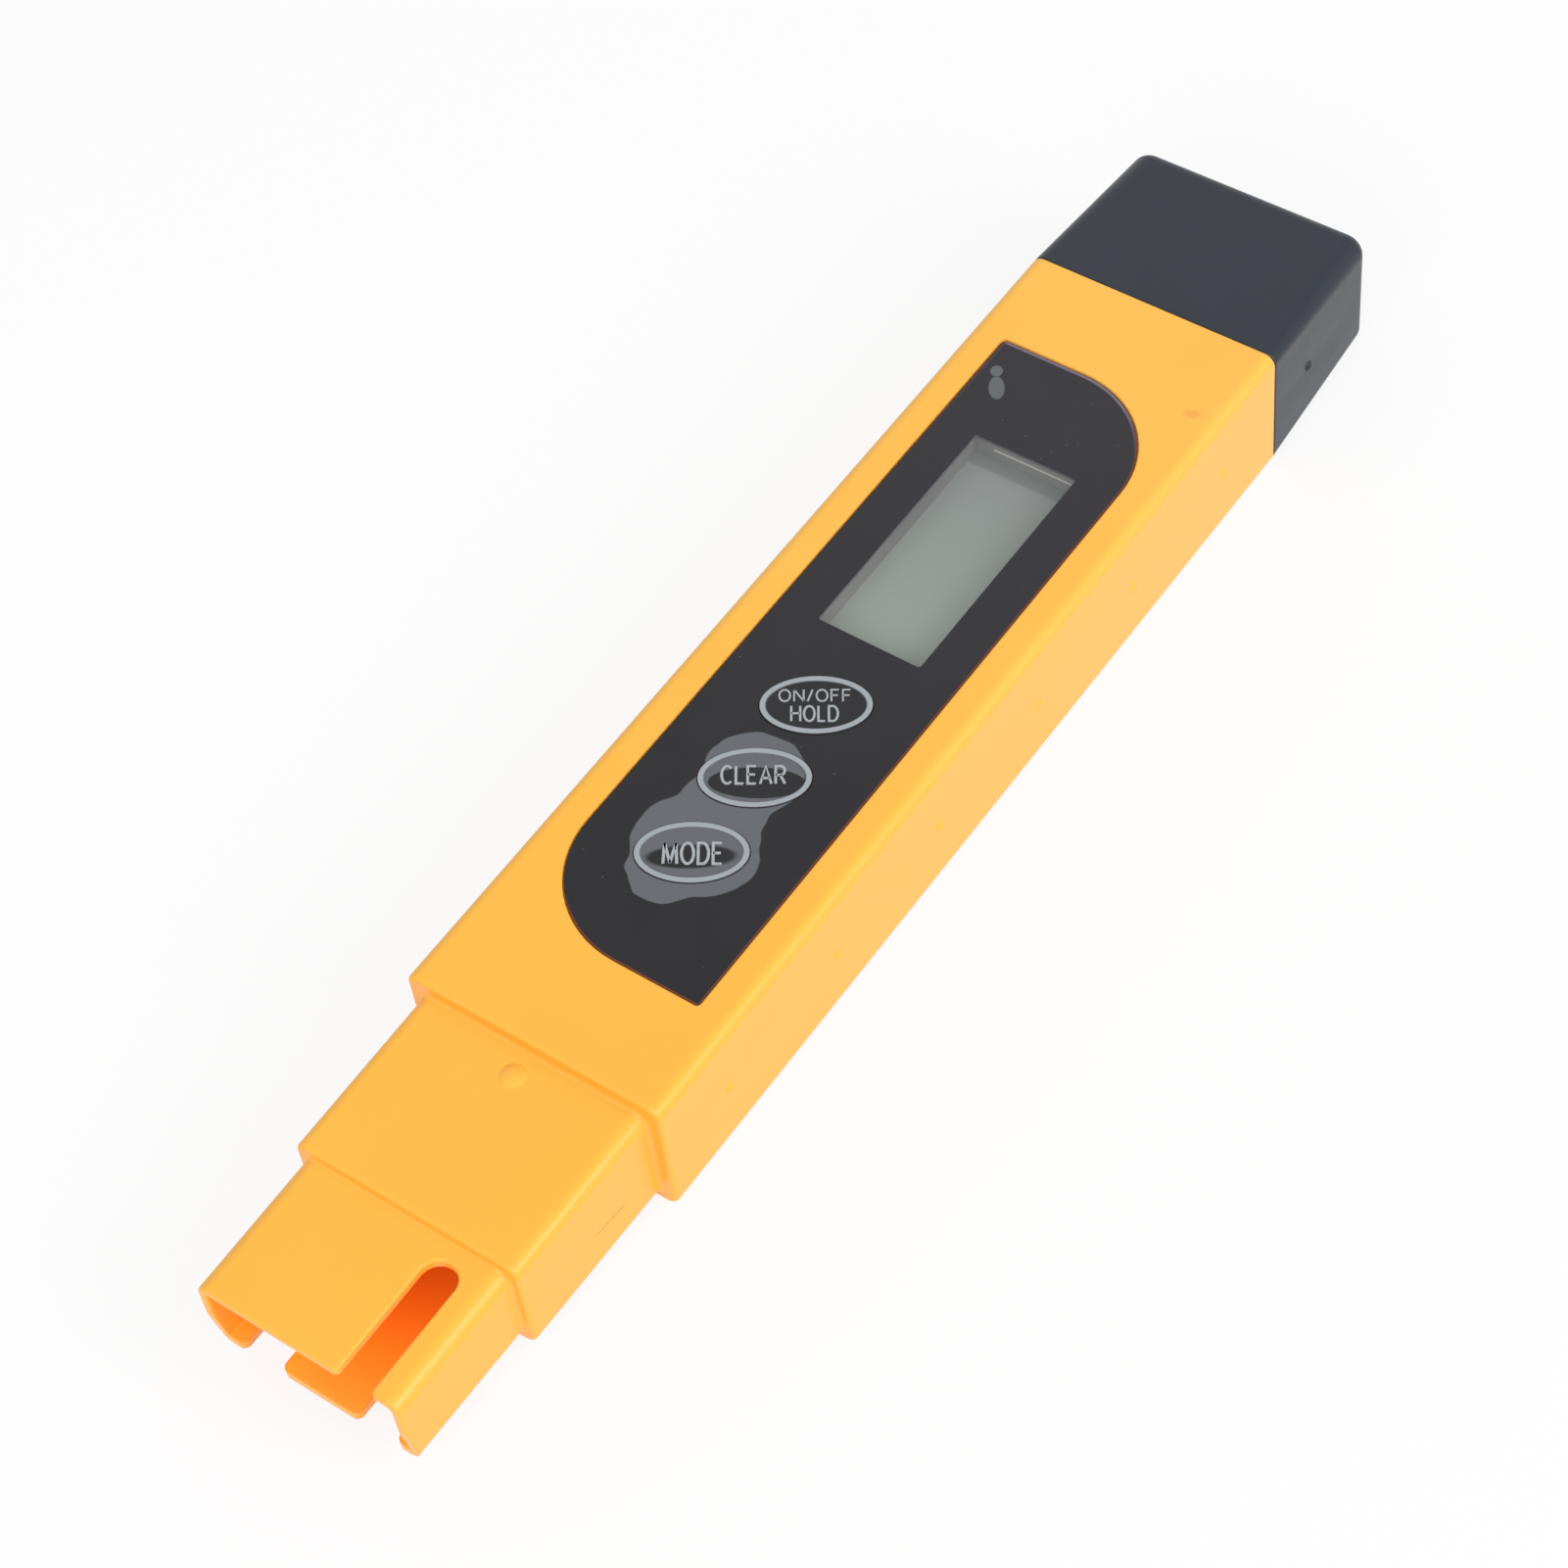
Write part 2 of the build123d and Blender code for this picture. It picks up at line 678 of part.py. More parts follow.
# Battery holder: a frame in the housing's mouth with a shelf that reaches into the cap
frame_end = mouth + holder_reach
shelf_top = cavity_floor + holder_shelf
cell_bottom = shelf_top + contact_thickness
cell_top = cell_bottom + cell_thickness
cell_station = frame_end + cell_diameter / 2 + cell_clearance
cell_places = [(s * cell_pitch / 2, from_tip(cell_station)) for s in (-1, 1)]
with BuildPart() as battery_holder:
    with BuildSketch(toward_tip(frame_end)):
        box_section(holder_width, cavity_floor, holder_top)
    extrude(amount=frame_end - holder_start)
    with BuildSketch(toward_cap(frame_end)):
        box_section(holder_width, cavity_floor, cell_top)
    extrude(amount=shelf_length)
    with Locations([(x, y, shelf_top) for x, y in cell_places]):
        Cylinder(cell_diameter / 2 + cell_clearance, cell_thickness + contact_thickness,
                 align=(Align.CENTER, Align.CENTER, Align.MIN), mode=Mode.SUBTRACT)
        Box(contact_tail_width + 2 * contact_clearance, cell_diameter, cell_thickness + contact_thickness,
            align=(Align.CENTER, Align.MAX, Align.MIN), mode=Mode.SUBTRACT)
    with Locations([(s * holder_width / 2, from_tip(lug_station), lug_middle) for s in (-1, 1)]):
        Box(2 * lug_height, lug_length, lug_rise)
    with BuildSketch(toward_tip(frame_end)):
        box_section(holder_width - 2 * holder_wall, shelf_top, holder_top - holder_wall)
    extrude(amount=frame_end - holder_start, mode=Mode.SUBTRACT)
save("battery_holder", battery_holder.part)


def cell(name, place, positive_up):
    """Button cell: a can with the smaller terminal on its negative side."""
    wide = cell_thickness - cell_rim_height
    low, high = (cell_rim_height, 0) if positive_up else (0, wide)
    with BuildPart() as battery:
        with Locations((*cell_places[place], cell_bottom + (cell_rim_height if positive_up else 0))):
            Cylinder(cell_diameter / 2, wide, align=(Align.CENTER, Align.CENTER, Align.MIN))
        with Locations((*cell_places[place], cell_bottom + high)):
            Cylinder(cell_terminal_diameter / 2, cell_rim_height,
                     align=(Align.CENTER, Align.CENTER, Align.MIN))
    save(name, battery.part)


cell("first_battery", 0, True)
cell("second_battery", 1, False)

# Contacts: a plate with a tail under each cell, and a bridge over both
tail_end = holder_start + contact_tail_setback
for name, place in (("negative_contact", 0), ("positive_contact", 1)):
    x, y = cell_places[place]
    with BuildPart() as contact:
        with BuildSketch(Plane.XY.offset(shelf_top)):
            with Locations((x, y)):
                Circle(contact_pad / 2)
            with Locations((x, (y + from_tip(tail_end)) / 2)):
                Rectangle(contact_tail_width, y - from_tip(tail_end))
        extrude(amount=contact_thickness)
    save(name, contact.part)

with BuildPart() as contact_bridge:
    with BuildSketch(level(cell_top, frame_end)):
        with Locations((0, bridge_finger / 4)):
            Rectangle(cell_pitch + bridge_finger, bridge_finger / 2)
        with Locations([(s * cell_pitch / 2, (cell_station - frame_end) / 2) for s in (-1, 1)]):
            Rectangle(bridge_finger, cell_station - frame_end)
    extrude(amount=contact_thickness)
save("contact_bridge", contact_bridge.part)

# Battery leads: from the contact tails down to the underside of the board
lead_low = shelf_top + contact_thickness + battery_lead_diameter / 2
lead_high = board_bottom - battery_lead_diameter / 2
for name, place in (("black_lead", 0), ("red_lead", 1)):
    x = cell_places[place][0]
    points = [
        (x, from_tip(tail_end + battery_lead_grip), lead_low),
        (x, from_tip(holder_start + lead_edge_gap), lead_low),
        (x, from_tip(board_end - lead_edge_gap), lead_high),
        (x, from_tip(board_end - lead_edge_gap - board_lead_grip), lead_high),
    ]
    save(name, tube_along(points, battery_lead_diameter / 2, battery_lead_bend))

# Probe: a block that closes the collar, two pins and a temperature sensor
probe_width = collar_bore_width - 2 * probe_clearance
probe_low = collar_bottom + collar_wall + probe_clearance
probe_high = collar_top - collar_wall - probe_clearance
seal_station = probe_shoulder + seal_setback
with BuildPart() as probe_block:
    with BuildSketch(toward_tip(tray_start)):
        box_section(probe_width, probe_low, probe_high)
    extrude(amount=tray_start - probe_shoulder)
    with BuildSketch(toward_tip(seal_station + seal_width)):
        box_section(probe_width, probe_low, probe_high)
        with Locations((0, probe_axis_height)):
            Rectangle(probe_width - 2 * seal_depth, probe_high - probe_low - 2 * seal_depth,
                      mode=Mode.SUBTRACT)
    extrude(amount=seal_width, mode=Mode.SUBTRACT)
    with BuildSketch(toward_tip(tray_start)):
        with Locations([(s * pin_spacing / 2, probe_axis_height) for s in (-1, 1)]):
            Circle(pin_diameter / 2 + pin_fit)
        with Locations([(s * sensor_lead_spacing / 2, probe_axis_height) for s in (-1, 1)]):
            Circle(sensor_lead_diameter / 2 + pin_fit)
    extrude(amount=tray_start - probe_shoulder, mode=Mode.SUBTRACT)
    with BuildSketch(toward_cap(probe_shoulder)):
        with Locations((0, probe_axis_height)):
            Circle(sensor_diameter / 2 + pin_fit)
    extrude(amount=sensor_seat, mode=Mode.SUBTRACT)
save("probe_block", probe_block.part)

with BuildPart() as probe_seal:
    with BuildSketch(toward_tip(seal_station + seal_width)):
        box_section(collar_bore_width, probe_low - probe_clearance, probe_high + probe_clearance)
        with Locations((0, probe_axis_height)):
            Rectangle(probe_width - 2 * seal_depth, probe_high - probe_low - 2 * seal_depth,
                      mode=Mode.SUBTRACT)
    extrude(amount=seal_width)
save("probe_seal", probe_seal.part)

pin_end = tray_start + pin_tail
pin_tip = probe_shoulder - pin_exposed
for name, s in (("left_electrode", -1), ("right_electrode", 1)):
    with BuildPart() as pin:
        with BuildSketch(toward_tip(pin_end)):
            with Locations((s * pin_spacing / 2, probe_axis_height)):
                Circle(pin_diameter / 2)
        extrude(amount=pin_end - pin_tip)
        fillet(pin.faces().sort_by(Axis.Y)[0].edges(), pin_edge)
    save(name, pin.part)

sensor_end = probe_shoulder + sensor_seat
with BuildPart() as temperature_sensor:
    with BuildSketch(toward_tip(sensor_end)):
        with Locations((0, probe_axis_height)):
            Circle(sensor_diameter / 2)
    extrude(amount=sensor_seat + sensor_exposed)
    fillet(temperature_sensor.faces().sort_by(Axis.Y)[0].edges(), sensor_edge)
save("temperature_sensor", temperature_sensor.part)

# Probe leads: from the pins and the sensor to the underside of the board
probe_lead_top = board_bottom - probe_lead_diameter / 2
sensor_lead_top = board_bottom - sensor_lead_diameter / 2
for name, s in (("left_lead", -1), ("right_lead", 1)):
    points = [
        (s * pin_spacing / 2, from_tip(pin_end), probe_axis_height),
        (s * pin_spacing / 2, from_tip(pin_end + probe_lead_run), probe_axis_height),
        (s * (pin_spacing / 2 + probe_lead_spread), from_tip(board_start - lead_edge_gap),
         probe_lead_top),
        (s * (pin_spacing / 2 + probe_lead_spread), from_tip(board_start + board_lead_grip),
         probe_lead_top),
    ]
    save(name, tube_along(points, probe_lead_diameter / 2, probe_lead_bend))

with BuildPart() as sensor_leads:
    for s in (-1, 1):
        add(tube_along([
            (s * sensor_lead_spacing / 2, from_tip(sensor_end), probe_axis_height),
            (s * sensor_lead_spacing / 2, from_tip(pin_end + probe_lead_run), probe_axis_height),
            (s * sensor_lead_spacing, from_tip(board_start - lead_edge_gap), sensor_lead_top),
            (s * sensor_lead_spacing, from_tip(board_start + board_lead_grip), sensor_lead_top),
        ], sensor_lead_diameter / 2, probe_lead_bend))
save("sensor_leads", sensor_leads.part)
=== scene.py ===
"""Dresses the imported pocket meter: finishes on its CAD solids, legends, marks, light and camera."""

import logging
import math
from dataclasses import dataclass
from enum import Enum
from typing import Sequence, Union

import bmesh
import bpy
from mathutils import Matrix, Vector


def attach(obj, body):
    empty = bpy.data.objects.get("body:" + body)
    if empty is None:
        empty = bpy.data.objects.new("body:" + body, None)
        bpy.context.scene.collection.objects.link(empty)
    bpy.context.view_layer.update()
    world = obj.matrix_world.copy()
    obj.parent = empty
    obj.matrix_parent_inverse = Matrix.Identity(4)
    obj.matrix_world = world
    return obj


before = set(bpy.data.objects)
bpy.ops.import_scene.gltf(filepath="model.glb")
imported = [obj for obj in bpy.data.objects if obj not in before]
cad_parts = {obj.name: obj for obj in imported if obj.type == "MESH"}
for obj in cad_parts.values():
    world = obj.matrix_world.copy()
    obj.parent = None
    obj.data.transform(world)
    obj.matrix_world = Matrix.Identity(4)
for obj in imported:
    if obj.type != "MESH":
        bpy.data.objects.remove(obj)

LOG = logging.getLogger("meter")
MM = 0.001
TIP_TO_MIDDLE = 77.25
FILM_FACE = 15.05
SAME_PLACE = 1e-6
CLOUDY = (0.3, 0.7)

Colour = tuple[float, float, float]
Point = tuple[float, float]
Place = tuple[float, float, float]
Stroke = list[Point]
Feed = Union["Number", bpy.types.NodeSocket, Colour, float]


def srgb(red: float, green: float, blue: float) -> Colour:
    """Linear colour of three screen values from 0 to 255."""
    parts = (red / 255.0, green / 255.0, blue / 255.0)
    return tuple(v / 12.92 if v <= 0.04045 else ((v + 0.055) / 1.055) ** 2.4 for v in parts)


def arc(middle: Point, radii: Point, start: float, end: float, steps: int = 14) -> Stroke:
    """Points along part of an ellipse, between two angles in degrees."""
    angles = [math.radians(start + (end - start) * i / steps) for i in range(steps + 1)]
    return [(middle[0] + radii[0] * math.cos(a), middle[1] + radii[1] * math.sin(a)) for a in angles]


# Width of each letter and its strokes, for a letter that is 1 high. A closed stroke ends where it starts.
LETTERS: dict[str, tuple[float, list[Stroke]]] = {
    "/": (0.3, [[(0, 0), (0.3, 1)]]),
    "A": (0.62, [[(0, 0), (0.31, 1), (0.62, 0)], [(0.11, 0.32), (0.51, 0.32)]]),
    "C": (0.56, [arc((0.31, 0.5), (0.31, 0.5), 48, 312, 22)]),
    "D": (0.56, [[(0, 0), (0, 1), (0.24, 1)] + arc((0.24, 0.5), (0.32, 0.5), 90, -90) + [(0, 0)]]),
    "E": (0.46, [[(0.46, 1), (0, 1), (0, 0), (0.46, 0)], [(0, 0.52), (0.41, 0.52)]]),
    "F": (0.46, [[(0, 0), (0, 1), (0.46, 1)], [(0, 0.52), (0.4, 0.52)]]),
    "H": (0.56, [[(0, 0), (0, 1)], [(0.56, 0), (0.56, 1)], [(0, 0.52), (0.56, 0.52)]]),
    "L": (0.42, [[(0, 1), (0, 0), (0.42, 0)]]),
    "M": (0.74, [[(0, 0), (0.06, 1)], [(0.06, 1), (0.37, 0.04)], [(0.37, 0.04), (0.68, 1)],
                 [(0.68, 1), (0.74, 0)]]),
    "N": (0.58, [[(0, 0), (0, 1)], [(0, 1), (0.58, 0)], [(0.58, 0), (0.58, 1)]]),
    "O": (0.66, [arc((0.33, 0.5), (0.33, 0.5), 90, 450, 28)]),
    "R": (0.52, [[(0, 0), (0, 1), (0.28, 1)] + arc((0.28, 0.75), (0.23, 0.25), 90, -90) + [(0, 0.5)],
                 [(0.26, 0.5), (0.52, 0)]]),
}


class Rider(Enum):
    """Moving bodies of the meter, by their names in the record."""

    METER = "meter"
    CAP = "cap"
    POWER = "power_button"
    CLEAR = "clear_button"
    MODE = "mode_button"


class Number:
    """A value socket whose arithmetic adds Math nodes to its tree."""

    def __init__(self, graph: "Graph", socket: bpy.types.NodeSocket) -> None:
        """Keeps the node tree and the socket that carries the value."""
        self.graph = graph
        self.socket = socket

    def _with(self, operation: str, first: Feed, second: Feed) -> "Number":
        """Math node of one operation on two values."""
        node = self.graph.node("ShaderNodeMath", {"operation": operation}, {0: first, 1: second})
        return Number(self.graph, node.outputs[0])

    def __add__(self, other: Feed) -> "Number":
        """self + other."""
        return self._with("ADD", self, other)

    def __radd__(self, other: Feed) -> "Number":
        """other + self."""
        return self._with("ADD", other, self)

    def __sub__(self, other: Feed) -> "Number":
        """self - other."""
        return self._with("SUBTRACT", self, other)

    def __rsub__(self, other: Feed) -> "Number":
        """other - self."""
        return self._with("SUBTRACT", other, self)

    def __mul__(self, other: Feed) -> "Number":
        """self * other."""
        return self._with("MULTIPLY", self, other)

    def __rmul__(self, other: Feed) -> "Number":
        """other * self."""
        return self._with("MULTIPLY", other, self)

    def __truediv__(self, other: Feed) -> "Number":
        """self / other."""
        return self._with("DIVIDE", self, other)

    def __rtruediv__(self, other: Feed) -> "Number":
        """other / self."""
        return self._with("DIVIDE", other, self)

    def __pow__(self, other: Feed) -> "Number":
        """self to the power other."""
        return self._with("POWER", self, other)

    def __neg__(self) -> "Number":
        """The value with its sign turned."""
        return 0.0 - self

    def __abs__(self) -> "Number":
        """Size of the value without its sign."""
        return self._with("ABSOLUTE", self, 0.0)

    def exponent(self) -> "Number":
        """e to the power of the value."""
        return self._with("EXPONENT", self, 0.0)

    def fold(self, height: float) -> "Number":
        """The value run up and down between 0 and a height."""
        return self._with("PINGPONG", self, height)

    def at_least(self, other: Feed) -> "Number":
        """The larger of the two values."""
        return self._with("MAXIMUM", self, other)

    def ramp(self, start: float, end: float) -> "Number":
        """Smooth step of the value.

        Args:
            start: Value at which the result is 0.
            end: Value at which the result is 1; it may be the lower of the two.

        Returns:
            A value from 0 to 1.
        """
        limits = {0: self, 1: min(start, end), 2: max(start, end)}
        node = self.graph.node("ShaderNodeMapRange", {"interpolation_type": "SMOOTHSTEP"}, limits)
        result = Number(self.graph, node.outputs[0])
        return result if end > start else 1.0 - result


class Graph:
    """A node tree that is built up by its methods."""

    def __init__(self, tree: bpy.types.NodeTree) -> None:
        """Keeps the tree and empties it."""
        self.tree = tree
        self.tree.nodes.clear()

    def node(self, kind: str, settings: dict[str, object], inputs: dict[int | str, Feed]) -> bpy.types.Node:
        """Adds one node.

        Args:
            kind: Type name of the node.
            settings: Properties of the node, which are set first.
            inputs: Values or links of its sockets, by name or index.

        Returns:
            The new node.
        """
        made = self.tree.nodes.new(kind)
        for key, value in settings.items():
            setattr(made, key, value)
        for key, value in inputs.items():
            socket = made.inputs[key]
            if isinstance(value, Number):
                value = value.socket
            if isinstance(value, bpy.types.NodeSocket):
                self.tree.links.new(value, socket)
            elif isinstance(value, tuple) and socket.type == "RGBA":
                socket.default_value = (*value, 1.0)
            else:
                socket.default_value = value
        return made

    def bright_rays(self, camera_share: float) -> Number:
        """Which rays see a white surface at its full brightness.

        Args:
            camera_share: Share for the rays that come straight from the camera.

        Returns:
            That share, 1 for mirrored and refracted rays, and 0 for all others.
        """
        path = self.node("ShaderNodeLightPath", {}, {})
        camera, glossy, refracted = (
            Number(self, path.outputs[f"Is {kind} Ray"]) for kind in ("Camera", "Glossy", "Transmission")
        )
        return (camera * camera_share).at_least(glossy).at_least(refracted)


class Shader(Graph):
    """One node material."""

    def __init__(self, name: str) -> None:
        """Starts an empty material of this name."""
        self.material = bpy.data.materials.new(name)
        self.material.use_nodes = True
        super().__init__(self.material.node_tree)

    def local(self) -> bpy.types.NodeSocket:
        """Object coordinates of the shaded point, in metres."""
        return self.node("ShaderNodeTexCoord", {}, {}).outputs["Object"]

    def place(self) -> tuple[Number, Number, Number]:
        """Where the shaded point is.

        Returns:
            Its X, its distance from the probe tip and its Z, in millimetres.
        """
        parts = self.node("ShaderNodeSeparateXYZ", {}, {0: self.local()})
        x, y, z = (Number(self, output) / MM for output in parts.outputs)
        return x, y + TIP_TO_MIDDLE, z

    def noise(self, size: float, detail: float = 3.0, stretch: Place = (1.0, 1.0, 1.0)) -> Number:
        """Cloudy variation.

        Args:
            size: Size of its lumps in millimetres.
            detail: Octaves of finer noise.
            stretch: Scale of the pattern along each axis.

        Returns:
            A value about 0.5.
        """
        mapping = self.node("ShaderNodeMapping", {}, {"Vector": self.local(), "Scale": stretch})
        texture = self.node(
            "ShaderNodeTexNoise",
            {"noise_dimensions": "3D"},
            {"Vector": mapping.outputs[0], "Scale": 1.0 / (size * MM), "Detail": detail, "Roughness": 0.55},
        )
        return Number(self, texture.outputs[0])

    def specks(self, size: float, share: float, radius: float) -> Number:
        """Scattered dots.

        Args:
            size: Spacing of the dots in millimetres before they are thinned out.
            share: Share of the dots that are kept.
            radius: Radius of a dot as a share of the spacing.

        Returns:
            1 in a dot and 0 between the dots.
        """
        cells = self.node(
            "ShaderNodeTexVoronoi",
            {"feature": "F1"},
            {"Vector": self.local(), "Scale": 1.0 / (size * MM), "Randomness": 1.0},
        )
        near = Number(self, cells.outputs["Distance"]).ramp(radius, radius * 0.5)
        parts = self.node("ShaderNodeSeparateColor", {}, {0: cells.outputs["Color"]})
        return near * Number(self, parts.outputs[0]).ramp(1.0 - share, 1.0 - share + 0.002)

    def oval(self, middle: Point, radii: Point, angle: float, edge: float) -> Number:
        """Soft-edged ellipse seen from the front.

        Args:
            middle: X and distance from the tip of its centre, in millimetres.
            radii: Its two radii in millimetres.
            angle: Turn of the first radius from +X, in degrees.
            edge: Width of its soft edge in millimetres.

        Returns:
            1 inside and 0 outside.
        """
        x, y, _ = self.place()
        across, along = x - middle[0], y - middle[1]
        cosine, sine = math.cos(math.radians(angle)), math.sin(math.radians(angle))
        u = (across * cosine + along * sine) / radii[0]
        v = (along * cosine - across * sine) / radii[1]
        half = 0.5 * edge / min(radii)
        return ((u * u + v * v) ** 0.5).ramp(1.0 + half, 1.0 - half)

    def blend(self, first: Feed, second: Feed, factor: Feed) -> bpy.types.NodeSocket:
        """Mix of two colours: the first at factor 0 and the second at 1."""
        return self.node("ShaderNodeMix", {"data_type": "RGBA"}, {0: factor, 6: first, 7: second}).outputs[2]

    def relief(self, height: Number, depth: float, rounding: float = 0.0) -> bpy.types.NodeSocket:
        """Normal of a surface whose height varies.

        Args:
            height: Height from 0 to 1.
            depth: Height of 1 in millimetres.
            rounding: Radius in millimetres to which sharp edges are softened.

        Returns:
            The socket of the bumped normal.
        """
        inputs = {"Height": height, "Distance": depth * MM, "Strength": 1.0}
        if rounding:
            bevel = self.node("ShaderNodeBevel", {"samples": 6}, {"Radius": rounding * MM})
            inputs["Normal"] = bevel.outputs[0]
        return self.node("ShaderNodeBump", {}, inputs).outputs[0]

    def facing(self) -> Number:
        """Upward part of the surface's normal.

        Returns:
            1 where the surface faces the sky and 0 where it stands upright.
        """
        geometry = self.node("ShaderNodeNewGeometry", {}, {})
        parts = self.node("ShaderNodeSeparateXYZ", {}, {0: geometry.outputs["Normal"]})
        return Number(self, parts.outputs[2])

    def finish(self, **sockets: Feed) -> bpy.types.Material:
        """Closes the material with one surface.

        Args:
            **sockets: Values or links of the surface's sockets, with _ for a space.

        Returns:
            The material.
        """
        inputs = {key.replace("_", " "): value for key, value in sockets.items()}
        surface = self.node("ShaderNodeBsdfPrincipled", {}, inputs)
        self.node("ShaderNodeOutputMaterial", {}, {"Surface": surface.outputs[0]})
        return self.material


@dataclass(frozen=True)
class MouldedPlastic:
    """Injection-moulded plastic with a fine skin, slight flow tone and handling marks."""

    name: str
    colour: Colour
    tone: Colour
    roughness: float = 0.4
    grain: float = 0.25
    grain_depth: float = 0.004
    flow_size: float = 14.0
    flow: Point = (0.3, 0.75)
    rub_size: float = 3.0
    rub_stretch: Place = (1.0, 0.25, 1.0)

    def make(self) -> bpy.types.Material:
        """Builds the finish.

        Returns:
            The material.
        """
        shader = Shader(self.name)
        fine = shader.noise(self.grain, 2.0)
        rub = shader.noise(self.rub_size, 4.0, self.rub_stretch)
        flow = shader.noise(self.flow_size, 2.0).ramp(*self.flow)
        return shader.finish(
            Base_Color=shader.blend(self.colour, self.tone, flow),
            Roughness=self.roughness + (rub - 0.5) * 0.16 + (fine - 0.5) * 0.08,
            Specular_IOR_Level=0.5,
            Normal=shader.relief(fine, self.grain_depth),
        )


@dataclass(frozen=True)
class HousingPlastic:
    """Glossy orange plastic of the housing, paler towards the cap, with painted shade on its upright faces
    and in the skirt's hollow, and a painted glow of light in the skirt's walls.
    """

    name: str = "orange housing plastic"
    front: Colour = (1.0, 0.494, 0.056)
    front_far: Colour = (1.0, 0.532, 0.084)
    # The two wall colours are painted shade: the deeper orange given to upright faces.
    wall: Colour = (1.0, 0.445, 0.048)
    shaded_wall_far: Colour = (1.0, 0.476, 0.078)
    tone: Colour = (1.0, 0.468, 0.043)
    # Painted shade in the skirt's hollow, darkest furthest in from the tip.
    painted_hollow_shade: Colour = (1.0, 0.30, 0.006)
    painted_darkest_shade: Colour = (0.84, 0.16, 0.003)
    # glow is painted light: an emission that stands in for light let in by the skirt's thin walls.
    glow: Colour = (1.0, 0.16, 0.004)
    painted_glow_strength: float = 0.34
    drift: Point = (20.0, 130.0)
    painted_shade_tilt: Point = (0.3, 0.85)
    bore_sides: Point = (10.3, 10.1)
    bore_floor: Point = (3.15, 3.4)
    bore_roof: Point = (11.7, 11.45)
    bore_end: Point = (23.5, 22.5)
    hollow_shade_run: Point = (0.3, 6.5)
    darkest_shade_run: Point = (6.0, 17.0)
    painted_glow_run: Point = (12.0, 1.0)
    scratch_foot: Point = (24.6, 6.16)
    scratch_slope: float = -0.12
    scratch_edge: Point = (0.09, 0.02)
    scratch_start: Point = (24.4, 24.8)
    scratch_stop: Point = (28.7, 28.2)
    scratch_wall: Point = (12.1, 12.2)
    scratch_colour: Colour = srgb(150, 96, 46)
    smudge_place: Point = (10.9, 125.0)
    smudge_radii: Point = (0.8, 0.5)
    smudge_face: Point = (15.0, 15.1)
    smudge_colour: Colour = srgb(232, 130, 60)
    fleck_colour: Colour = srgb(206, 120, 40)
    flecks: Place = (2.6, 0.05, 0.045)
    flow_size: float = 18.0
    skin_size: float = 0.35
    swell_size: float = 5.0
    rub_size: float = 2.2
    rub_stretch: Place = (1.0, 0.2, 1.0)
    edge_rounding: float = 0.3

    def clean(self, shader: Shader) -> bpy.types.NodeSocket:
        """Colour of the outside before any mark, with painted shade that gives its upright faces a deeper
        orange than its upward faces.

        Args:
            shader: The material that is being built.

        Returns:
            The colour's socket.
        """
        along = shader.place()[1].ramp(*self.drift)
        # Painted shade: upright faces take the deeper wall colour, upward faces the plain orange.
        colour = shader.blend(
            shader.blend(self.wall, self.shaded_wall_far, along),
            shader.blend(self.front, self.front_far, along),
            shader.facing().ramp(*self.painted_shade_tilt),
        )
        return shader.blend(colour, self.tone, shader.noise(self.flow_size, 2.0).ramp(*CLOUDY) * 0.3)

    def bore(self, shader: Shader) -> Number:
        """Where the skirt's hollow is.

        Args:
            shader: The material that is being built.

        Returns:
            1 on the hollow's walls and 0 outside.
        """
        x, y, z = shader.place()
        across = abs(x).ramp(*self.bore_sides)
        return across * z.ramp(*self.bore_floor) * z.ramp(*self.bore_roof) * y.ramp(*self.bore_end)

    def scratch(self, shader: Shader) -> Number:
        """Where the fine scratch on the collar's right side is.

        Args:
            shader: The material that is being built.

        Returns:
            1 in the scratch and 0 elsewhere.
        """
        x, y, z = shader.place()
        start, height = self.scratch_foot
        line = abs(z - height - (y - start) * self.scratch_slope).ramp(*self.scratch_edge)
        return line * x.ramp(*self.scratch_wall) * y.ramp(*self.scratch_start) * y.ramp(*self.scratch_stop)

    def make(self) -> bpy.types.Material:
        """Builds the finish.

        Returns:
            The material.
        """
        shader = Shader(self.name)
        _, y, z = shader.place()
        inside, scratch = self.bore(shader), self.scratch(shader)
        # Painted shade: the skirt's hollow is darkened to a red-orange, darkest furthest in from the tip.
        colour = shader.blend(self.clean(shader), self.painted_hollow_shade, inside * (0.25 + 0.75 * y.ramp(*self.hollow_shade_run)))
        colour = shader.blend(colour, self.painted_darkest_shade, inside * y.ramp(*self.darkest_shade_run))
        dots = shader.specks(*self.flecks)
        colour = shader.blend(colour, self.fleck_colour, dots * 0.5)
        colour = shader.blend(colour, self.scratch_colour, scratch * 0.7)
        smudge = shader.oval(self.smudge_place, self.smudge_radii, 20.0, 0.6) * z.ramp(*self.smudge_face)
        colour = shader.blend(colour, self.smudge_colour, smudge * 0.35)
        # Painted light: the skirt's hollow glows red, standing in for light let in by its thin walls.
        painted_glow_mask = inside * (0.45 + 0.55 * y.ramp(*self.painted_glow_run))
        rub = shader.noise(self.rub_size, 4.0, self.rub_stretch)
        skin, swell = shader.noise(self.skin_size, 2.0), shader.noise(self.swell_size, 2.0)
        height = skin * 0.35 + swell * 0.65 - scratch * 2.0
        return shader.finish(
            Base_Color=colour,
            Roughness=0.34 + (rub - 0.5) * 0.14 + dots * 0.2 + scratch * 0.3 + inside * 0.4,
            Specular_IOR_Level=0.4,
            Emission_Color=shader.blend((0.0, 0.0, 0.0), self.glow, painted_glow_mask),
            Emission_Strength=self.painted_glow_strength,
            Normal=shader.relief(height, 0.012, self.edge_rounding),
        )


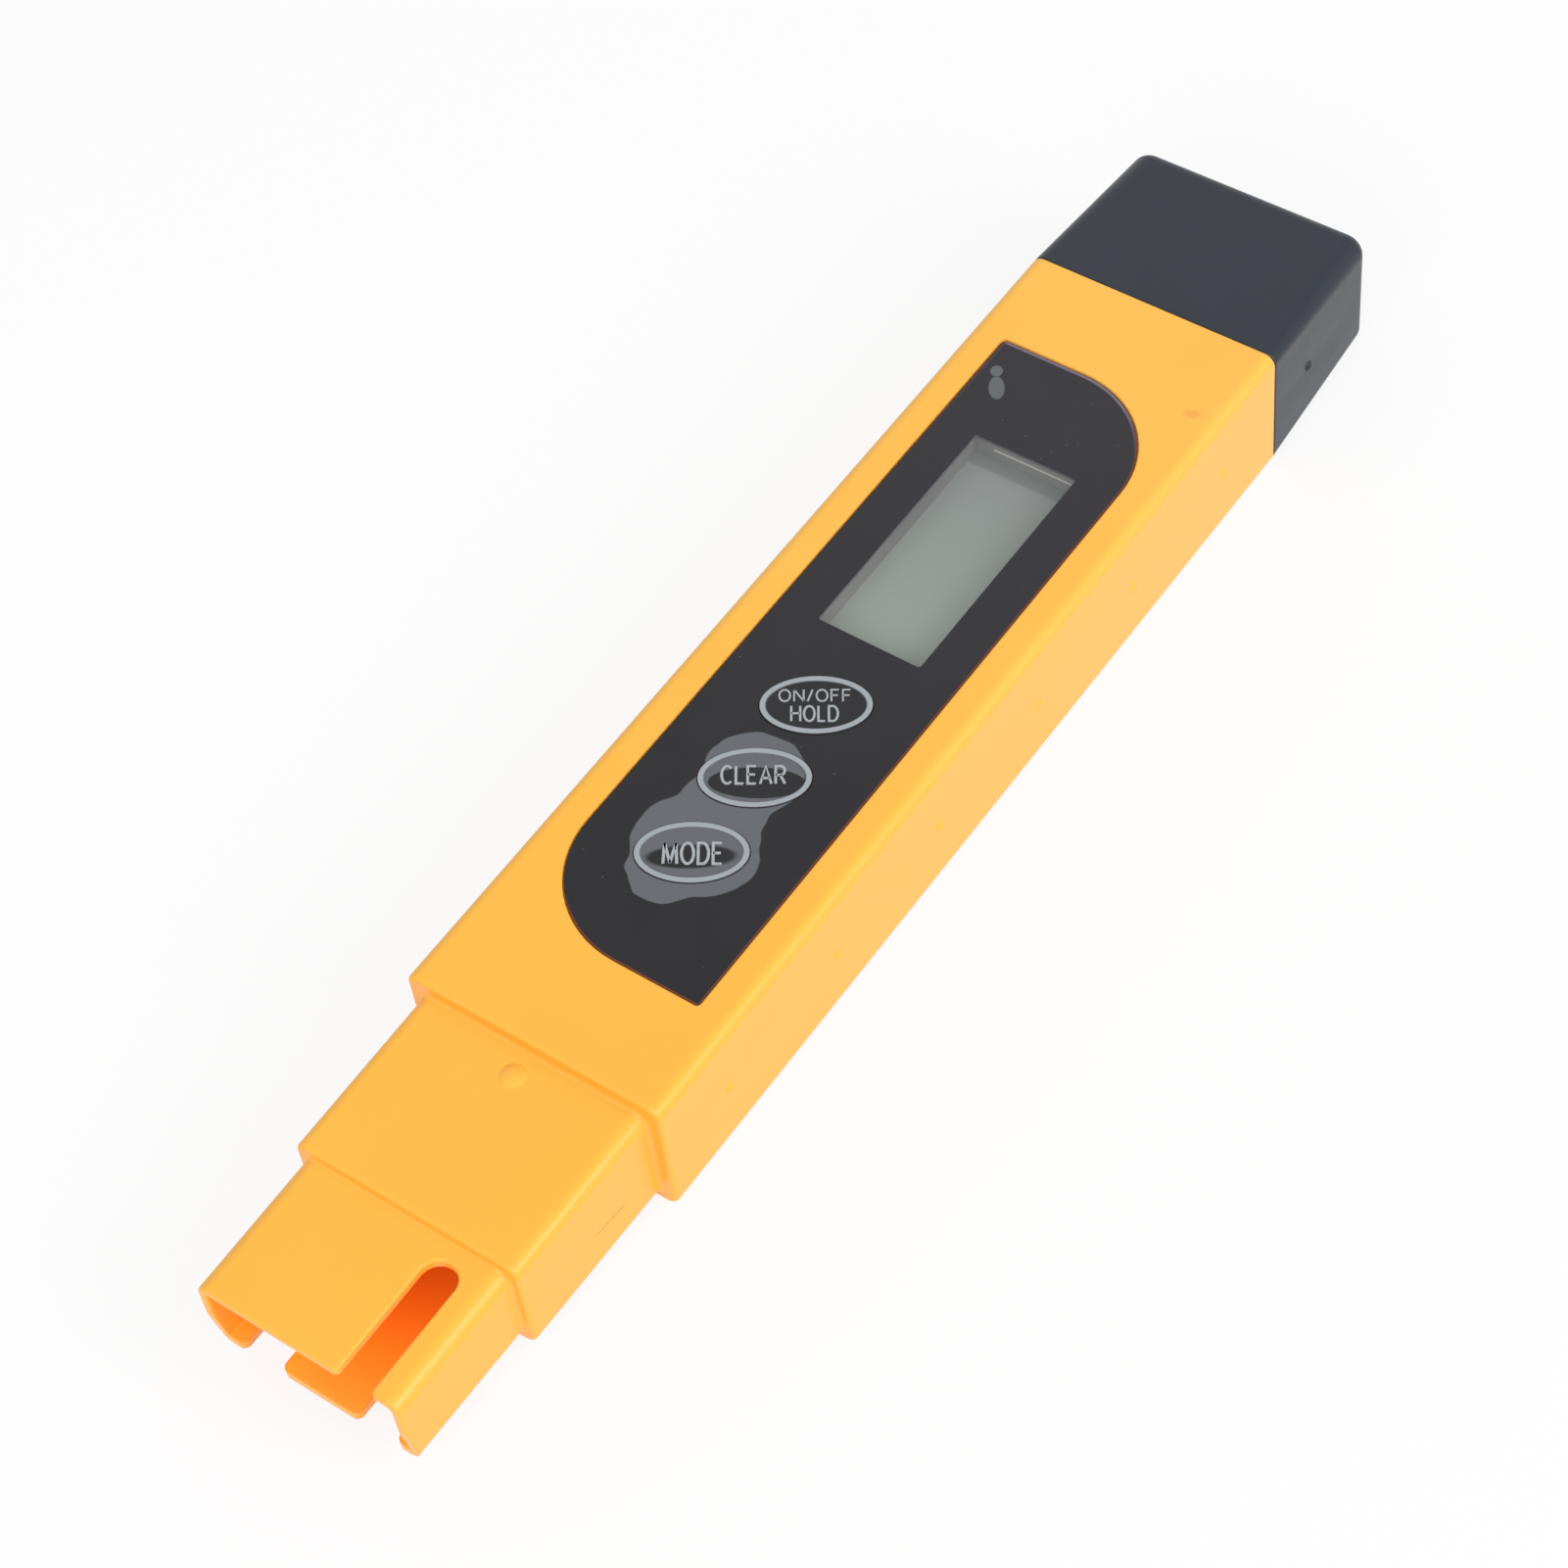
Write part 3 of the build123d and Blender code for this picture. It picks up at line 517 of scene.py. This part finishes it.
@dataclass(frozen=True)
class PrintedFilm:
    """Dark printed film: velvet grain, a patch where it clings to the carrier, dust, cut edges, a painted
    highlight on its cap-end rim and painted shade in the gap along its right side and tip end.
    """

    name: str = "printed front film"
    ink: Colour = srgb(6, 6, 13)
    # Film colour at the cap end: the film turns paler towards the cap.
    cap_end_film: Colour = srgb(34, 31, 38)
    cling: Colour = srgb(96, 99, 105)
    # Painted highlight on the cap-end rim and painted shade in the gap between the film and its pocket.
    painted_edge_highlight: Colour = srgb(114, 107, 124)
    painted_gap_shade: Colour = srgb(132, 58, 18)
    cut_edge: Colour = srgb(84, 82, 88)
    dust: Colour = srgb(165, 165, 165)
    width: float = 20.4
    length: float = 79.9
    middle: float = 84.15
    corner: float = 11.2
    cap_ward_blend: Point = (45.0, 122.0)
    lobes: tuple[tuple[float, float, float, float], ...] = (
        (-0.15, 58.1, 6.35, 5.3), (-0.4, 67.4, 4.9, 4.7), (-0.6, 63.2, 4.3, 3.6), (-0.9, 53.8, 3.4, 2.9),
    )
    lobe_fall: float = 6.0
    patch_edge: Point = (0.0021, 0.0030)
    clear_hole: tuple[Point, Point, float] = ((0.5, 66.75), (4.5, 1.75), 29.0)
    mode_hole: tuple[Point, Point, float] = ((0.2, 56.9), (4.1, 1.3), 33.0)
    small_spot: tuple[Point, Point, float] = ((-8.58, 120.27), (0.62, 0.72), 35.0)
    large_spot: tuple[Point, Point, float] = ((-7.35, 118.4), (1.5, 0.78), 125.0)
    flecks: Place = (1.9, 0.03, 0.035)
    cloud_size: float = 9.0
    grain: float = 0.12
    highlight_band: Point = (0.36, 0.24)
    gap_shade_band: Point = (0.2, 0.08)

    def patch(self, shader: Shader) -> Number:
        """Where the film clings to the carrier behind it, round the two lower keys.

        Args:
            shader: The material that is being built.

        Returns:
            1 in the patch and 0 outside it and behind the two words.
        """
        x, y, _ = shader.place()
        wobble = (shader.noise(2.6, 1.0) - 0.5) * 0.9
        mixed = 0.0
        for mx, my, rx, ry in self.lobes:
            across, along = (x - mx + wobble) / rx, (y - my + wobble) / ry
            mixed = mixed + (-(across * across + along * along) * self.lobe_fall).exponent()
        clear_word, mode_word = shader.oval(*self.clear_hole, 0.3), shader.oval(*self.mode_hole, 0.3)
        torn = (shader.noise(0.9, 1.0) - 0.5) * 0.5
        kept = 1.0 - (clear_word + torn * clear_word).ramp(0.3, 0.6)
        return mixed.ramp(*self.patch_edge) * kept * (1.0 - mode_word)

    def edge(self, shader: Shader) -> tuple[Number, Number]:
        """Where the shaded point is on the film.

        Args:
            shader: The material that is being built.

        Returns:
            Its distance in from the outline, and its Y from the film's middle.
        """
        x, y, _ = shader.place()
        along = y - self.middle
        side = along.ramp(-0.01, 0.01) * 2.0 - 1.0
        u, v = x * side, abs(along)
        across = (u - (self.width / 2 - self.corner)).at_least(0.0)
        onward = (v - (self.length / 2 - self.corner)).at_least(0.0)
        round_off = (across * across + onward * onward) ** 0.5 - self.corner
        return -round_off.at_least(-u - self.width / 2), along

    def trim(self, shader: Shader, colour: Feed) -> bpy.types.NodeSocket:
        """Draws a painted highlight along the film's cap-end rim and painted shade in the gap along its right
        side and tip end.

        Args:
            shader: The material that is being built.
            colour: Colour of the film.

        Returns:
            The socket of the trimmed colour.
        """
        inward, along = self.edge(shader)
        x, _, _ = shader.place()
        far = along.ramp(27.0, 36.0) * x.ramp(10.0, 4.0) * x.ramp(-10.0, -9.8)
        near = (1.0 - far) * (x + along * 0.1).ramp(-9.0, -4.0).at_least(along.ramp(-36.0, -39.0))
        # Painted highlight where the cap-end rim would catch the light.
        colour = shader.blend(colour, self.painted_edge_highlight, inward.ramp(*self.highlight_band) * far)
        # Painted shade in the gap along the right side and the tip end.
        return shader.blend(colour, self.painted_gap_shade, inward.ramp(*self.gap_shade_band) * near)

    def make(self) -> bpy.types.Material:
        """Builds the finish.

        Returns:
            The material.
        """
        shader = Shader(self.name)
        small, large = shader.oval(*self.small_spot, 0.15), shader.oval(*self.large_spot, 0.15)
        cling = self.patch(shader).at_least(small).at_least(large)
        cloud = shader.noise(self.cloud_size, 3.0).ramp(*CLOUDY)
        # The film turns paler along its length towards the cap end.
        cap_ward_blend = shader.place()[1].ramp(*self.cap_ward_blend) * 0.8 + cloud * 0.2
        colour = shader.blend(self.ink, self.cap_end_film, cap_ward_blend)
        colour = shader.blend(colour, self.cling, cling)
        dots = shader.specks(*self.flecks)
        colour = self.trim(shader, shader.blend(colour, self.dust, dots * 0.6))
        fine = shader.noise(self.grain, 2.0)
        return shader.finish(
            Base_Color=shader.blend(self.cut_edge, colour, shader.facing().ramp(0.4, 0.8)),
            Roughness=0.3 + (fine - 0.5) * 0.08 - cling * 0.04 + dots * 0.2,
            Specular_IOR_Level=0.4,
            Normal=shader.relief(fine + dots * 3.0 + cling * 6.0, 0.003, 0.15),
        )


@dataclass(frozen=True)
class KeyFilm(PrintedFilm):
    """The film's finish on a key, with the pale raised ring round it."""

    ring: Colour = srgb(160, 168, 174)
    key_place: float = 0.0
    key_radii: Point = (5.25, 3.35)
    key_angle: float = 30.0
    ring_width: float = 0.55

    def trim(self, shader: Shader, colour: Feed) -> bpy.types.NodeSocket:
        """Draws the key's ring.

        Args:
            shader: The material that is being built.
            colour: Colour of the film.

        Returns:
            The socket of the ringed colour.
        """
        radii = (self.key_radii[0] - self.ring_width, self.key_radii[1] - self.ring_width)
        inner = shader.oval((0.0, self.key_place), radii, self.key_angle, 0.12)
        return shader.blend(colour, self.ring, 1.0 - inner)


@dataclass(frozen=True)
class LegendInk:
    """Pale grey ink of the key legends."""

    name: str = "legend ink"
    colour: Colour = srgb(176, 182, 188)
    thin: Colour = srgb(150, 156, 162)

    def make(self) -> bpy.types.Material:
        """Builds the finish.

        Returns:
            The material.
        """
        shader = Shader(self.name)
        fine = shader.noise(0.15, 2.0)
        colour = shader.blend(self.colour, self.thin, fine.ramp(0.35, 0.75))
        return shader.finish(Base_Color=colour, Roughness=0.42 + (fine - 0.5) * 0.1)


@dataclass(frozen=True)
class DisplayFace:
    """Blank grey-green face of the display, with a painted reflection that darkens it towards the cap end and
    a painted shadow on a darker margin at its cap end.
    """

    name: str = "display face"
    face: Colour = srgb(150, 159, 151)
    # Painted reflection: the face darkens along a slanting gradient towards the cap end.
    painted_dim_face: Colour = srgb(134, 140, 138)
    # Painted shadow cast by the window's cap-end wall on the display's margin.
    shade: Colour = srgb(112, 117, 115)
    speck: Colour = srgb(190, 198, 176)
    reflection_fall: Point = (84.0, 116.0)
    reflection_fall_slant: float = 0.4
    margin: Point = (110.4, 110.9)
    flecks: Place = (2.2, 0.05, 0.04)

    def make(self) -> bpy.types.Material:
        """Builds the finish.

        Returns:
            The material.
        """
        shader = Shader(self.name)
        x, y, _ = shader.place()
        fine = shader.noise(0.2, 2.0)
        # Painted reflection, darker towards the cap end.
        colour = shader.blend(self.face, self.painted_dim_face, (y - x * self.reflection_fall_slant).ramp(*self.reflection_fall))
        # Painted shadow of the window's cap-end wall along the margin.
        colour = shader.blend(colour, self.shade, y.ramp(*self.margin))
        return shader.finish(
            Base_Color=shader.blend(colour, self.speck, shader.specks(*self.flecks) * 0.7),
            Roughness=0.3 + (fine - 0.5) * 0.08,
            Specular_IOR_Level=0.35,
            Normal=shader.relief(fine, 0.002),
        )


@dataclass(frozen=True)
class ClearPlastic:
    """Clear pane or glass: almost unseen but for its gloss."""

    name: str
    colour: Colour = srgb(200, 206, 202)
    alpha: float = 0.08
    roughness: float = 0.08

    def make(self) -> bpy.types.Material:
        """Builds the finish.

        Returns:
            The material.
        """
        shader = Shader(self.name)
        haze = shader.noise(4.0, 3.0)
        return shader.finish(
            Base_Color=self.colour,
            Roughness=self.roughness + (haze - 0.5) * 0.06,
            Alpha=self.alpha,
            Specular_IOR_Level=0.4,
        )


@dataclass(frozen=True)
class Metal:
    """Drawn or turned metal with fine lines along one axis."""

    name: str
    colour: Colour = srgb(196, 198, 200)
    roughness: float = 0.28
    stain: float = 0.72
    lines: Place = (1.0, 1.0, 12.0)

    def make(self) -> bpy.types.Material:
        """Builds the finish.

        Returns:
            The material.
        """
        shader = Shader(self.name)
        drawn = shader.noise(1.2, 3.0, self.lines)
        stained = tuple(self.stain * part for part in self.colour)
        return shader.finish(
            Base_Color=shader.blend(self.colour, stained, shader.noise(2.5, 3.0).ramp(0.45, 0.85)),
            Metallic=1.0,
            Roughness=self.roughness + (drawn - 0.5) * 0.2,
            Normal=shader.relief(drawn, 0.004),
        )


@dataclass(frozen=True)
class BoardLaminate:
    """Green board with its solder mask over a web of tracks."""

    name: str = "board laminate"
    mask: Colour = srgb(24, 96, 48)
    track: Colour = srgb(40, 128, 66)
    across_pitch: float = 0.9
    along_pitch: float = 0.45
    track_height: float = 0.03

    def make(self) -> bpy.types.Material:
        """Builds the finish.

        Returns:
            The material.
        """
        shader = Shader(self.name)
        x, y, _ = shader.place()
        bend = shader.noise(7.0, 0.0) * 3.0
        lanes, cross = self.lanes(x * self.across_pitch + bend), self.lanes(y * self.along_pitch + bend)
        tracks = lanes.at_least(cross * 0.8)
        colour = shader.blend(self.mask, self.track, tracks)
        return shader.finish(
            Base_Color=colour,
            Roughness=0.32 + tracks * 0.06,
            Normal=shader.relief(tracks, self.track_height),
        )

    def lanes(self, value: Number) -> Number:
        """Parallel lines at every whole step of a value."""
        return value.fold(0.5).ramp(0.16, 0.1)


def dress(nodes: Sequence[str], material: bpy.types.Material) -> None:
    """Gives CAD solids one material.

    Args:
        nodes: Names of the solids.
        material: Their finish.
    """
    for name in nodes:
        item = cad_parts[name]
        item.data.materials.clear()
        item.data.materials.append(material)
        LOG.info("dressed %s in %s", name, material.name)


def add_piece(
    name: str, mesh: bmesh.types.BMesh, material: bpy.types.Material, body: Rider
) -> bpy.types.Object:
    """Turns a built mesh into a piece of the meter.

    Args:
        name: Name of the piece.
        mesh: Its mesh, in millimetres with Y counted from the probe tip.
        material: Its finish.
        body: The body that it rides on.

    Returns:
        The new object.
    """
    place = Matrix.Translation((0.0, -TIP_TO_MIDDLE * MM, 0.0)) @ Matrix.Scale(MM, 4)
    bmesh.ops.transform(mesh, matrix=place, verts=mesh.verts)
    bmesh.ops.recalc_face_normals(mesh, faces=mesh.faces)
    data = bpy.data.meshes.new(name)
    mesh.to_mesh(data)
    mesh.free()
    data.materials.append(material)
    piece = bpy.data.objects.new(name, data)
    bpy.context.scene.collection.objects.link(piece)
    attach(piece, body.value)
    LOG.info("made %s with %d faces", name, len(data.polygons))
    return piece


@dataclass
class Legend:
    """One word on a key, drawn in strokes as flat raised ink."""

    word: str
    middle: Point
    width: float
    height: float
    stroke: float
    slope: float = 31.2
    rise: float = 125.0
    gap: float = 0.24
    base: float = FILM_FACE
    thickness: float = 0.05
    sharpest_mitre: float = 0.7

    def ribbon(self, mesh: bmesh.types.BMesh, points: Stroke) -> None:
        """Adds one stroke to the mesh as a raised strip with mitred corners.

        Args:
            mesh: The mesh that takes it.
            points: Its middle line, in millimetres on the film.
        """
        closed = len(points) > 2 and math.dist(points[0], points[-1]) < SAME_PLACE
        kept = [p for i, p in enumerate(points) if i == 0 or math.dist(p, points[i - 1]) > SAME_PLACE]
        line = [Vector(p) for p in (kept[:-1] if closed else kept)]
        count = len(line)
        rails: list[list[bmesh.types.BMVert]] = []
        for i, point in enumerate(line):
            before = (point - line[i - 1]).normalized() if i or closed else None
            after = (line[(i + 1) % count] - point).normalized() if i < count - 1 or closed else None
            first, second = before or after, after or before
            tangent = (first + second).normalized()
            normal = Vector((-tangent.y, tangent.x))
            mitre = max(self.sharpest_mitre, normal.dot(Vector((-second.y, second.x))))
            reach = 0.5 * self.stroke / mitre
            corners = [point + normal * reach, point - normal * reach]
            levels = (self.base, self.base + self.thickness)
            rails.append([mesh.verts.new((corner.x, corner.y, z)) for corner in corners for z in levels])
        pairs = list(zip(rails, rails[1:])) + ([(rails[-1], rails[0])] if closed else [])
        for near, far in pairs:
            for one, two in ((1, 3), (0, 1), (3, 2), (2, 0)):
                mesh.faces.new((near[one], near[two], far[two], far[one]))
        if not closed:
            for end in (rails[0], rails[-1]):
                mesh.faces.new((end[0], end[1], end[3], end[2]))

    def build(self, name: str, material: bpy.types.Material, body: Rider) -> bpy.types.Object:
        """Makes the word.

        Args:
            name: Name of the piece.
            material: Its ink.
            body: The key's body.

        Returns:
            The new object.
        """
        letters = [LETTERS[letter] for letter in self.word]
        plain = sum(width for width, _ in letters) + self.gap * (len(letters) - 1)
        across = Vector((math.cos(math.radians(self.slope)), math.sin(math.radians(self.slope))))
        upward = Vector((math.cos(math.radians(self.rise)), math.sin(math.radians(self.rise))))
        mesh = bmesh.new()
        start = 0.0
        for width, strokes in letters:
            for stroke in strokes:
                points = []
                for px, py in stroke:
                    u = ((start + px) / plain - 0.5) * self.width
                    spot = Vector(self.middle) + across * u + upward * ((py - 0.5) * self.height)
                    points.append((spot.x, spot.y))
                self.ribbon(mesh, points)
            start += width + self.gap
        return add_piece(name, mesh, material, body)


@dataclass
class FilmDust:
    """Dust and lint that lie on the front film: X, distance from the tip and size of each fleck."""

    height: float = FILM_FACE
    thickness: float = 0.03
    sides: int = 7
    turn: float = 47.0
    spread: Point = (1.3, 0.6)
    flecks: tuple[Place, ...] = (
        (-4.55, 115.07, 0.10), (-1.48, 114.52, 0.10), (2.55, 115.57, 0.12), (3.49, 116.19, 0.13),
        (1.8, 121.32, 0.07), (6.91, 117.99, 0.07), (1.73, 114.06, 0.08), (1.4, 112.84, 0.10),
        (-9.43, 77.92, 0.10), (8.46, 98.67, 0.08), (-3.88, 91.17, 0.08), (2.97, 96.51, 0.08),
        (-8.63, 52.57, 0.07), (-5.3, 50.92, 0.12), (-2.52, 50.74, 0.10), (8.17, 47.78, 0.07),
        (5.97, 71.23, 0.09), (0.91, 72.09, 0.12), (1.64, 72.14, 0.10),
    )

    def outline(self, index: int, middle: Point, size: float) -> Stroke:
        """Uneven outline of one fleck.

        Args:
            index: Number of the fleck, which gives its turn and shape.
            middle: Its centre.
            size: Its greatest half height.

        Returns:
            Its corners in order.
        """
        corners = []
        for step in range(self.sides):
            angle = math.radians(step * 360 / self.sides + index * self.turn)
            reach = size * (0.55 + 0.45 * math.sin(step * 2.3 + index * 1.7))
            across, along = self.spread[0] * reach * math.cos(angle), self.spread[1] * reach * math.sin(angle)
            corners.append((middle[0] + across, middle[1] + along))
        return corners

    def build(self) -> None:
        """Makes all the flecks as one piece."""
        mesh = bmesh.new()
        for index, (x, y, size) in enumerate(self.flecks):
            low = [mesh.verts.new((*corner, self.height)) for corner in self.outline(index, (x, y), size)]
            top = mesh.verts.new((x, y, self.height + self.thickness))
            mesh.faces.new(low)
            for first, second in zip(low, low[1:] + low[:1]):
                mesh.faces.new((first, second, top))
        pale = MouldedPlastic("pale dust", srgb(150, 150, 152), srgb(110, 110, 112), 0.8)
        add_piece("film_dust", mesh, pale.make(), Rider.METER)


@dataclass
class FrontPanel:
    """Printed film, its three keys and their legends."""

    keys: tuple[tuple[str, float], ...] = (("power", 76.9), ("clear", 67.1), ("mode", 57.3))
    words: tuple[tuple[str, Rider, Legend], ...] = (
        ("legend_on_off", Rider.POWER, Legend("ON/OFF", (-0.73, 77.75), 6.6, 1.35, 0.17)),
        ("legend_hold", Rider.POWER, Legend("HOLD", (0.45, 76.0), 4.3, 1.75, 0.21)),
        ("legend_clear", Rider.CLEAR, Legend("CLEAR", (-0.3, 67.3), 5.8, 2.0, 0.25)),
        ("legend_mode", Rider.MODE, Legend("MODE", (0.12, 57.25), 5.3, 2.3, 0.27)),
    )

    def dress(self) -> None:
        """Finishes the film and the keys, prints the words and lays the dust."""
        dress(["panel_overlay"], PrintedFilm().make())
        for name, place in self.keys:
            dress([f"{name}_key"], KeyFilm(name=f"{name} key film", key_place=place).make())
        ink = LegendInk().make()
        for name, body, legend in self.words:
            legend.build(name, ink, body)
        FilmDust().build()


@dataclass
class DisplayStack:
    """Window, bezel and the display behind it."""

    # A thin pale strip that paints the glint of light along the display glass's cap-end edge.
    glint_height: float = 14.1
    glint_size: float = 0.14
    glint_bevel: float = 0.03
    glint_from: float = -3.6
    glint_to: float = 5.7
    wall: float = 112.25
    bezel: MouldedPlastic = MouldedPlastic("bezel plastic", srgb(124, 120, 122), srgb(108, 104, 106), 0.45)
    rubber: MouldedPlastic = MouldedPlastic("conductive rubber", srgb(52, 52, 54), srgb(74, 74, 76), 0.7)
    # Pale plastic of the painted glint strip.
    pale: MouldedPlastic = MouldedPlastic(
        "painted glint strip plastic", srgb(196, 194, 188), srgb(180, 178, 174), 0.4
    )

    def dress(self) -> None:
        """Finishes the pieces of the display."""
        dress(["display_window"], ClearPlastic("window film").make())
        dress(["lcd_bezel"], self.bezel.make())
        dress(["front_polarizer"], DisplayFace().make())
        dress(["front_glass", "rear_glass"], ClearPlastic("display glass", srgb(176, 196, 186), 0.45).make())
        dress(["rear_reflector"], Metal("reflector foil", srgb(190, 192, 188), 0.4).make())
        dress(["zebra_strips"], self.rubber.make())
        self.glint_strip()

    def glint_strip(self) -> None:
        """Makes a thin pale strip across the bezel's cap-end wall: a painted glint that stands in for light
        caught on the display glass's edge.
        """
        mesh = bmesh.new()
        size = (self.glint_to - self.glint_from, self.glint_size, self.glint_size)
        bmesh.ops.create_cube(mesh, size=1.0)
        bmesh.ops.scale(mesh, vec=size, verts=mesh.verts)
        middle = ((self.glint_to + self.glint_from) / 2, self.wall - self.glint_size / 2, self.glint_height)
        bmesh.ops.translate(mesh, vec=middle, verts=mesh.verts)
        bmesh.ops.bevel(mesh, geom=mesh.edges[:], offset=self.glint_bevel, segments=2, affect="EDGES")
        add_piece("painted_glint_strip", mesh, self.pale.make(), Rider.METER)


@dataclass
class Shell:
    """Housing and battery cover."""

    cap: MouldedPlastic = MouldedPlastic(
        "black cap plastic", srgb(14, 25, 38), srgb(20, 31, 43), 0.36, grain=0.3, grain_depth=0.008
    )

    def dress(self) -> None:
        """Finishes the two outer mouldings."""
        dress(["housing"], HousingPlastic().make())
        dress(["battery_cover"], self.cap.make())


@dataclass
class Works:
    """Everything inside the housing: names of the pieces and the finish that they share."""

    steel: tuple[str, ...] = (
        "crystal", "switch_bodies", "board_screws", "first_battery", "second_battery", "negative_contact",
        "positive_contact", "contact_bridge", "temperature_sensor", "left_electrode", "right_electrode",
    )
    mouldings: tuple[tuple[tuple[str, ...], MouldedPlastic], ...] = (
        (("lcd_frame", "carrier_tray", "battery_holder", "power_plunger", "clear_plunger", "mode_plunger"),
         MouldedPlastic("pale inner plastic", srgb(214, 214, 208), srgb(202, 202, 196), 0.5)),
        (("chip_blob",), MouldedPlastic("chip epoxy", srgb(20, 20, 20), srgb(28, 28, 28), 0.18)),
        (("resistors",), MouldedPlastic("resistor glaze", srgb(24, 24, 26), srgb(40, 40, 42), 0.3)),
        (("capacitors",), MouldedPlastic("capacitor ceramic", srgb(168, 132, 92), srgb(150, 116, 80), 0.4)),
        (("power_switch_stem", "clear_switch_stem", "mode_switch_stem"),
         MouldedPlastic("switch plastic", srgb(30, 30, 32), srgb(38, 38, 40), 0.5)),
        (("probe_block",), MouldedPlastic("probe plastic", srgb(28, 28, 30), srgb(36, 36, 38), 0.45)),
        (("probe_seal",), MouldedPlastic("seal rubber", srgb(26, 26, 26), srgb(34, 34, 34), 0.75)),
        (("red_lead", "right_lead"),
         MouldedPlastic("red insulation", srgb(176, 24, 20), srgb(158, 20, 18), 0.45)),
        (("black_lead", "left_lead"),
         MouldedPlastic("black insulation", srgb(26, 26, 26), srgb(36, 36, 36), 0.45)),
        (("sensor_leads",), MouldedPlastic("grey insulation", srgb(150, 150, 152), srgb(136, 136, 138), 0.5)),
    )

    def dress(self) -> None:
        """Finishes the pieces by what they are made of."""
        dress(self.steel, Metal("bright steel").make())
        dress(["circuit_board"], BoardLaminate().make())
        for nodes, plastic in self.mouldings:
            dress(nodes, plastic.make())


@dataclass
class Studio:
    """White table, soft light and the camera at the photograph's angle."""

    camera_place: Place = (0.1433531, -0.1661122, 0.2906787)
    image_right: Place = (0.814572, 0.573078, -0.089737)
    image_down: Place = (0.414783, -0.683607, -0.600531)
    sensor: float = 36.0
    focal_share: float = 3909.30 / 1601
    nearest: float = 0.01
    sky: float = 0.6
    table_half: float = 2.0
    table_drop: float = 0.00005
    paper: float = 0.9
    table_glow: float = 0.84
    lamps: tuple[tuple[str, Place, float, float], ...] = (
        ("window_light", (1.0, 0.12, 0.62), 0.6, 6.4),
        ("front_light", (0.25, -0.95, 0.75), 0.6, 5.2),
    )

    def build(self) -> None:
        """Makes the table, the world, the lamps and the camera."""
        self.table()
        self.world()
        for name, place, size, power in self.lamps:
            self.lamp(name, place, size, power)
        self.camera()

    def table(self) -> None:
        """Makes the white table top just under the meter."""
        mesh = bmesh.new()
        bmesh.ops.create_grid(mesh, x_segments=1, y_segments=1, size=self.table_half)
        data = bpy.data.meshes.new("table_top")
        mesh.to_mesh(data)
        mesh.free()
        table = bpy.data.objects.new("table_top", data)
        table.location = (0.0, 0.0, -self.table_drop)
        bpy.context.scene.collection.objects.link(table)
        shader = Shader("white table")
        paper = shader.node("ShaderNodeBsdfDiffuse", {}, {"Color": (self.paper, self.paper, self.paper)})
        glow = shader.node("ShaderNodeEmission", {}, {"Color": (1.0, 1.0, 1.0), "Strength": 1.0})
        share = shader.bright_rays(self.table_glow)
        mix = shader.node("ShaderNodeMixShader", {}, {0: share, 1: paper.outputs[0], 2: glow.outputs[0]})
        shader.node("ShaderNodeOutputMaterial", {}, {"Surface": mix.outputs[0]})
        data.materials.append(shader.material)

    def world(self) -> None:
        """Makes plain white surroundings, dimmer as a light than as a background."""
        world = bpy.data.worlds.new("white studio")
        bpy.context.scene.world = world
        world.use_nodes = True
        graph = Graph(world.node_tree)
        strength = graph.node("ShaderNodeMapRange", {}, {0: graph.bright_rays(1.0), 3: self.sky, 4: 1.0})
        background = graph.node(
            "ShaderNodeBackground", {}, {"Color": (1.0, 1.0, 1.0), "Strength": strength.outputs[0]}
        )
        graph.node("ShaderNodeOutputWorld", {}, {"Surface": background.outputs[0]})

    def lamp(self, name: str, place: Place, size: float, power: float) -> None:
        """Makes a square soft lamp that faces the meter.

        Args:
            name: Its name.
            place: Where it hangs, in metres.
            size: Its side in metres.
            power: Its power in watts.
        """
        data = bpy.data.lights.new(name, "AREA")
        data.shape = "SQUARE"
        data.size = size
        data.energy = power
        lamp = bpy.data.objects.new(name, data)
        lamp.location = place
        lamp.rotation_euler = (-Vector(place)).to_track_quat("-Z", "Y").to_euler()
        bpy.context.scene.collection.objects.link(lamp)

    def camera(self) -> None:
        """Makes the camera at the photograph's place, angle and lens."""
        data = bpy.data.cameras.new("photo_camera")
        data.sensor_width = self.sensor
        data.lens = self.focal_share * self.sensor
        data.clip_start = self.nearest
        camera = bpy.data.objects.new("photo_camera", data)
        right, up = Vector(self.image_right), -Vector(self.image_down)
        turn = Matrix((right, up, right.cross(up))).transposed().to_4x4()
        camera.matrix_world = Matrix.Translation(self.camera_place) @ turn
        bpy.context.scene.collection.objects.link(camera)
        bpy.context.scene.camera = camera


def main() -> None:
    """Builds the sub-assemblies in order, then the studio."""
    logging.basicConfig(level=logging.INFO, format="%(name)s: %(message)s")
    bpy.context.scene.view_settings.view_transform = "Standard"
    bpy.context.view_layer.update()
    for part in (Shell(), FrontPanel(), DisplayStack(), Works()):
        LOG.info("dressing %s", type(part).__name__)
        part.dress()
    Studio().build()


if __name__ == "__main__":
    main()
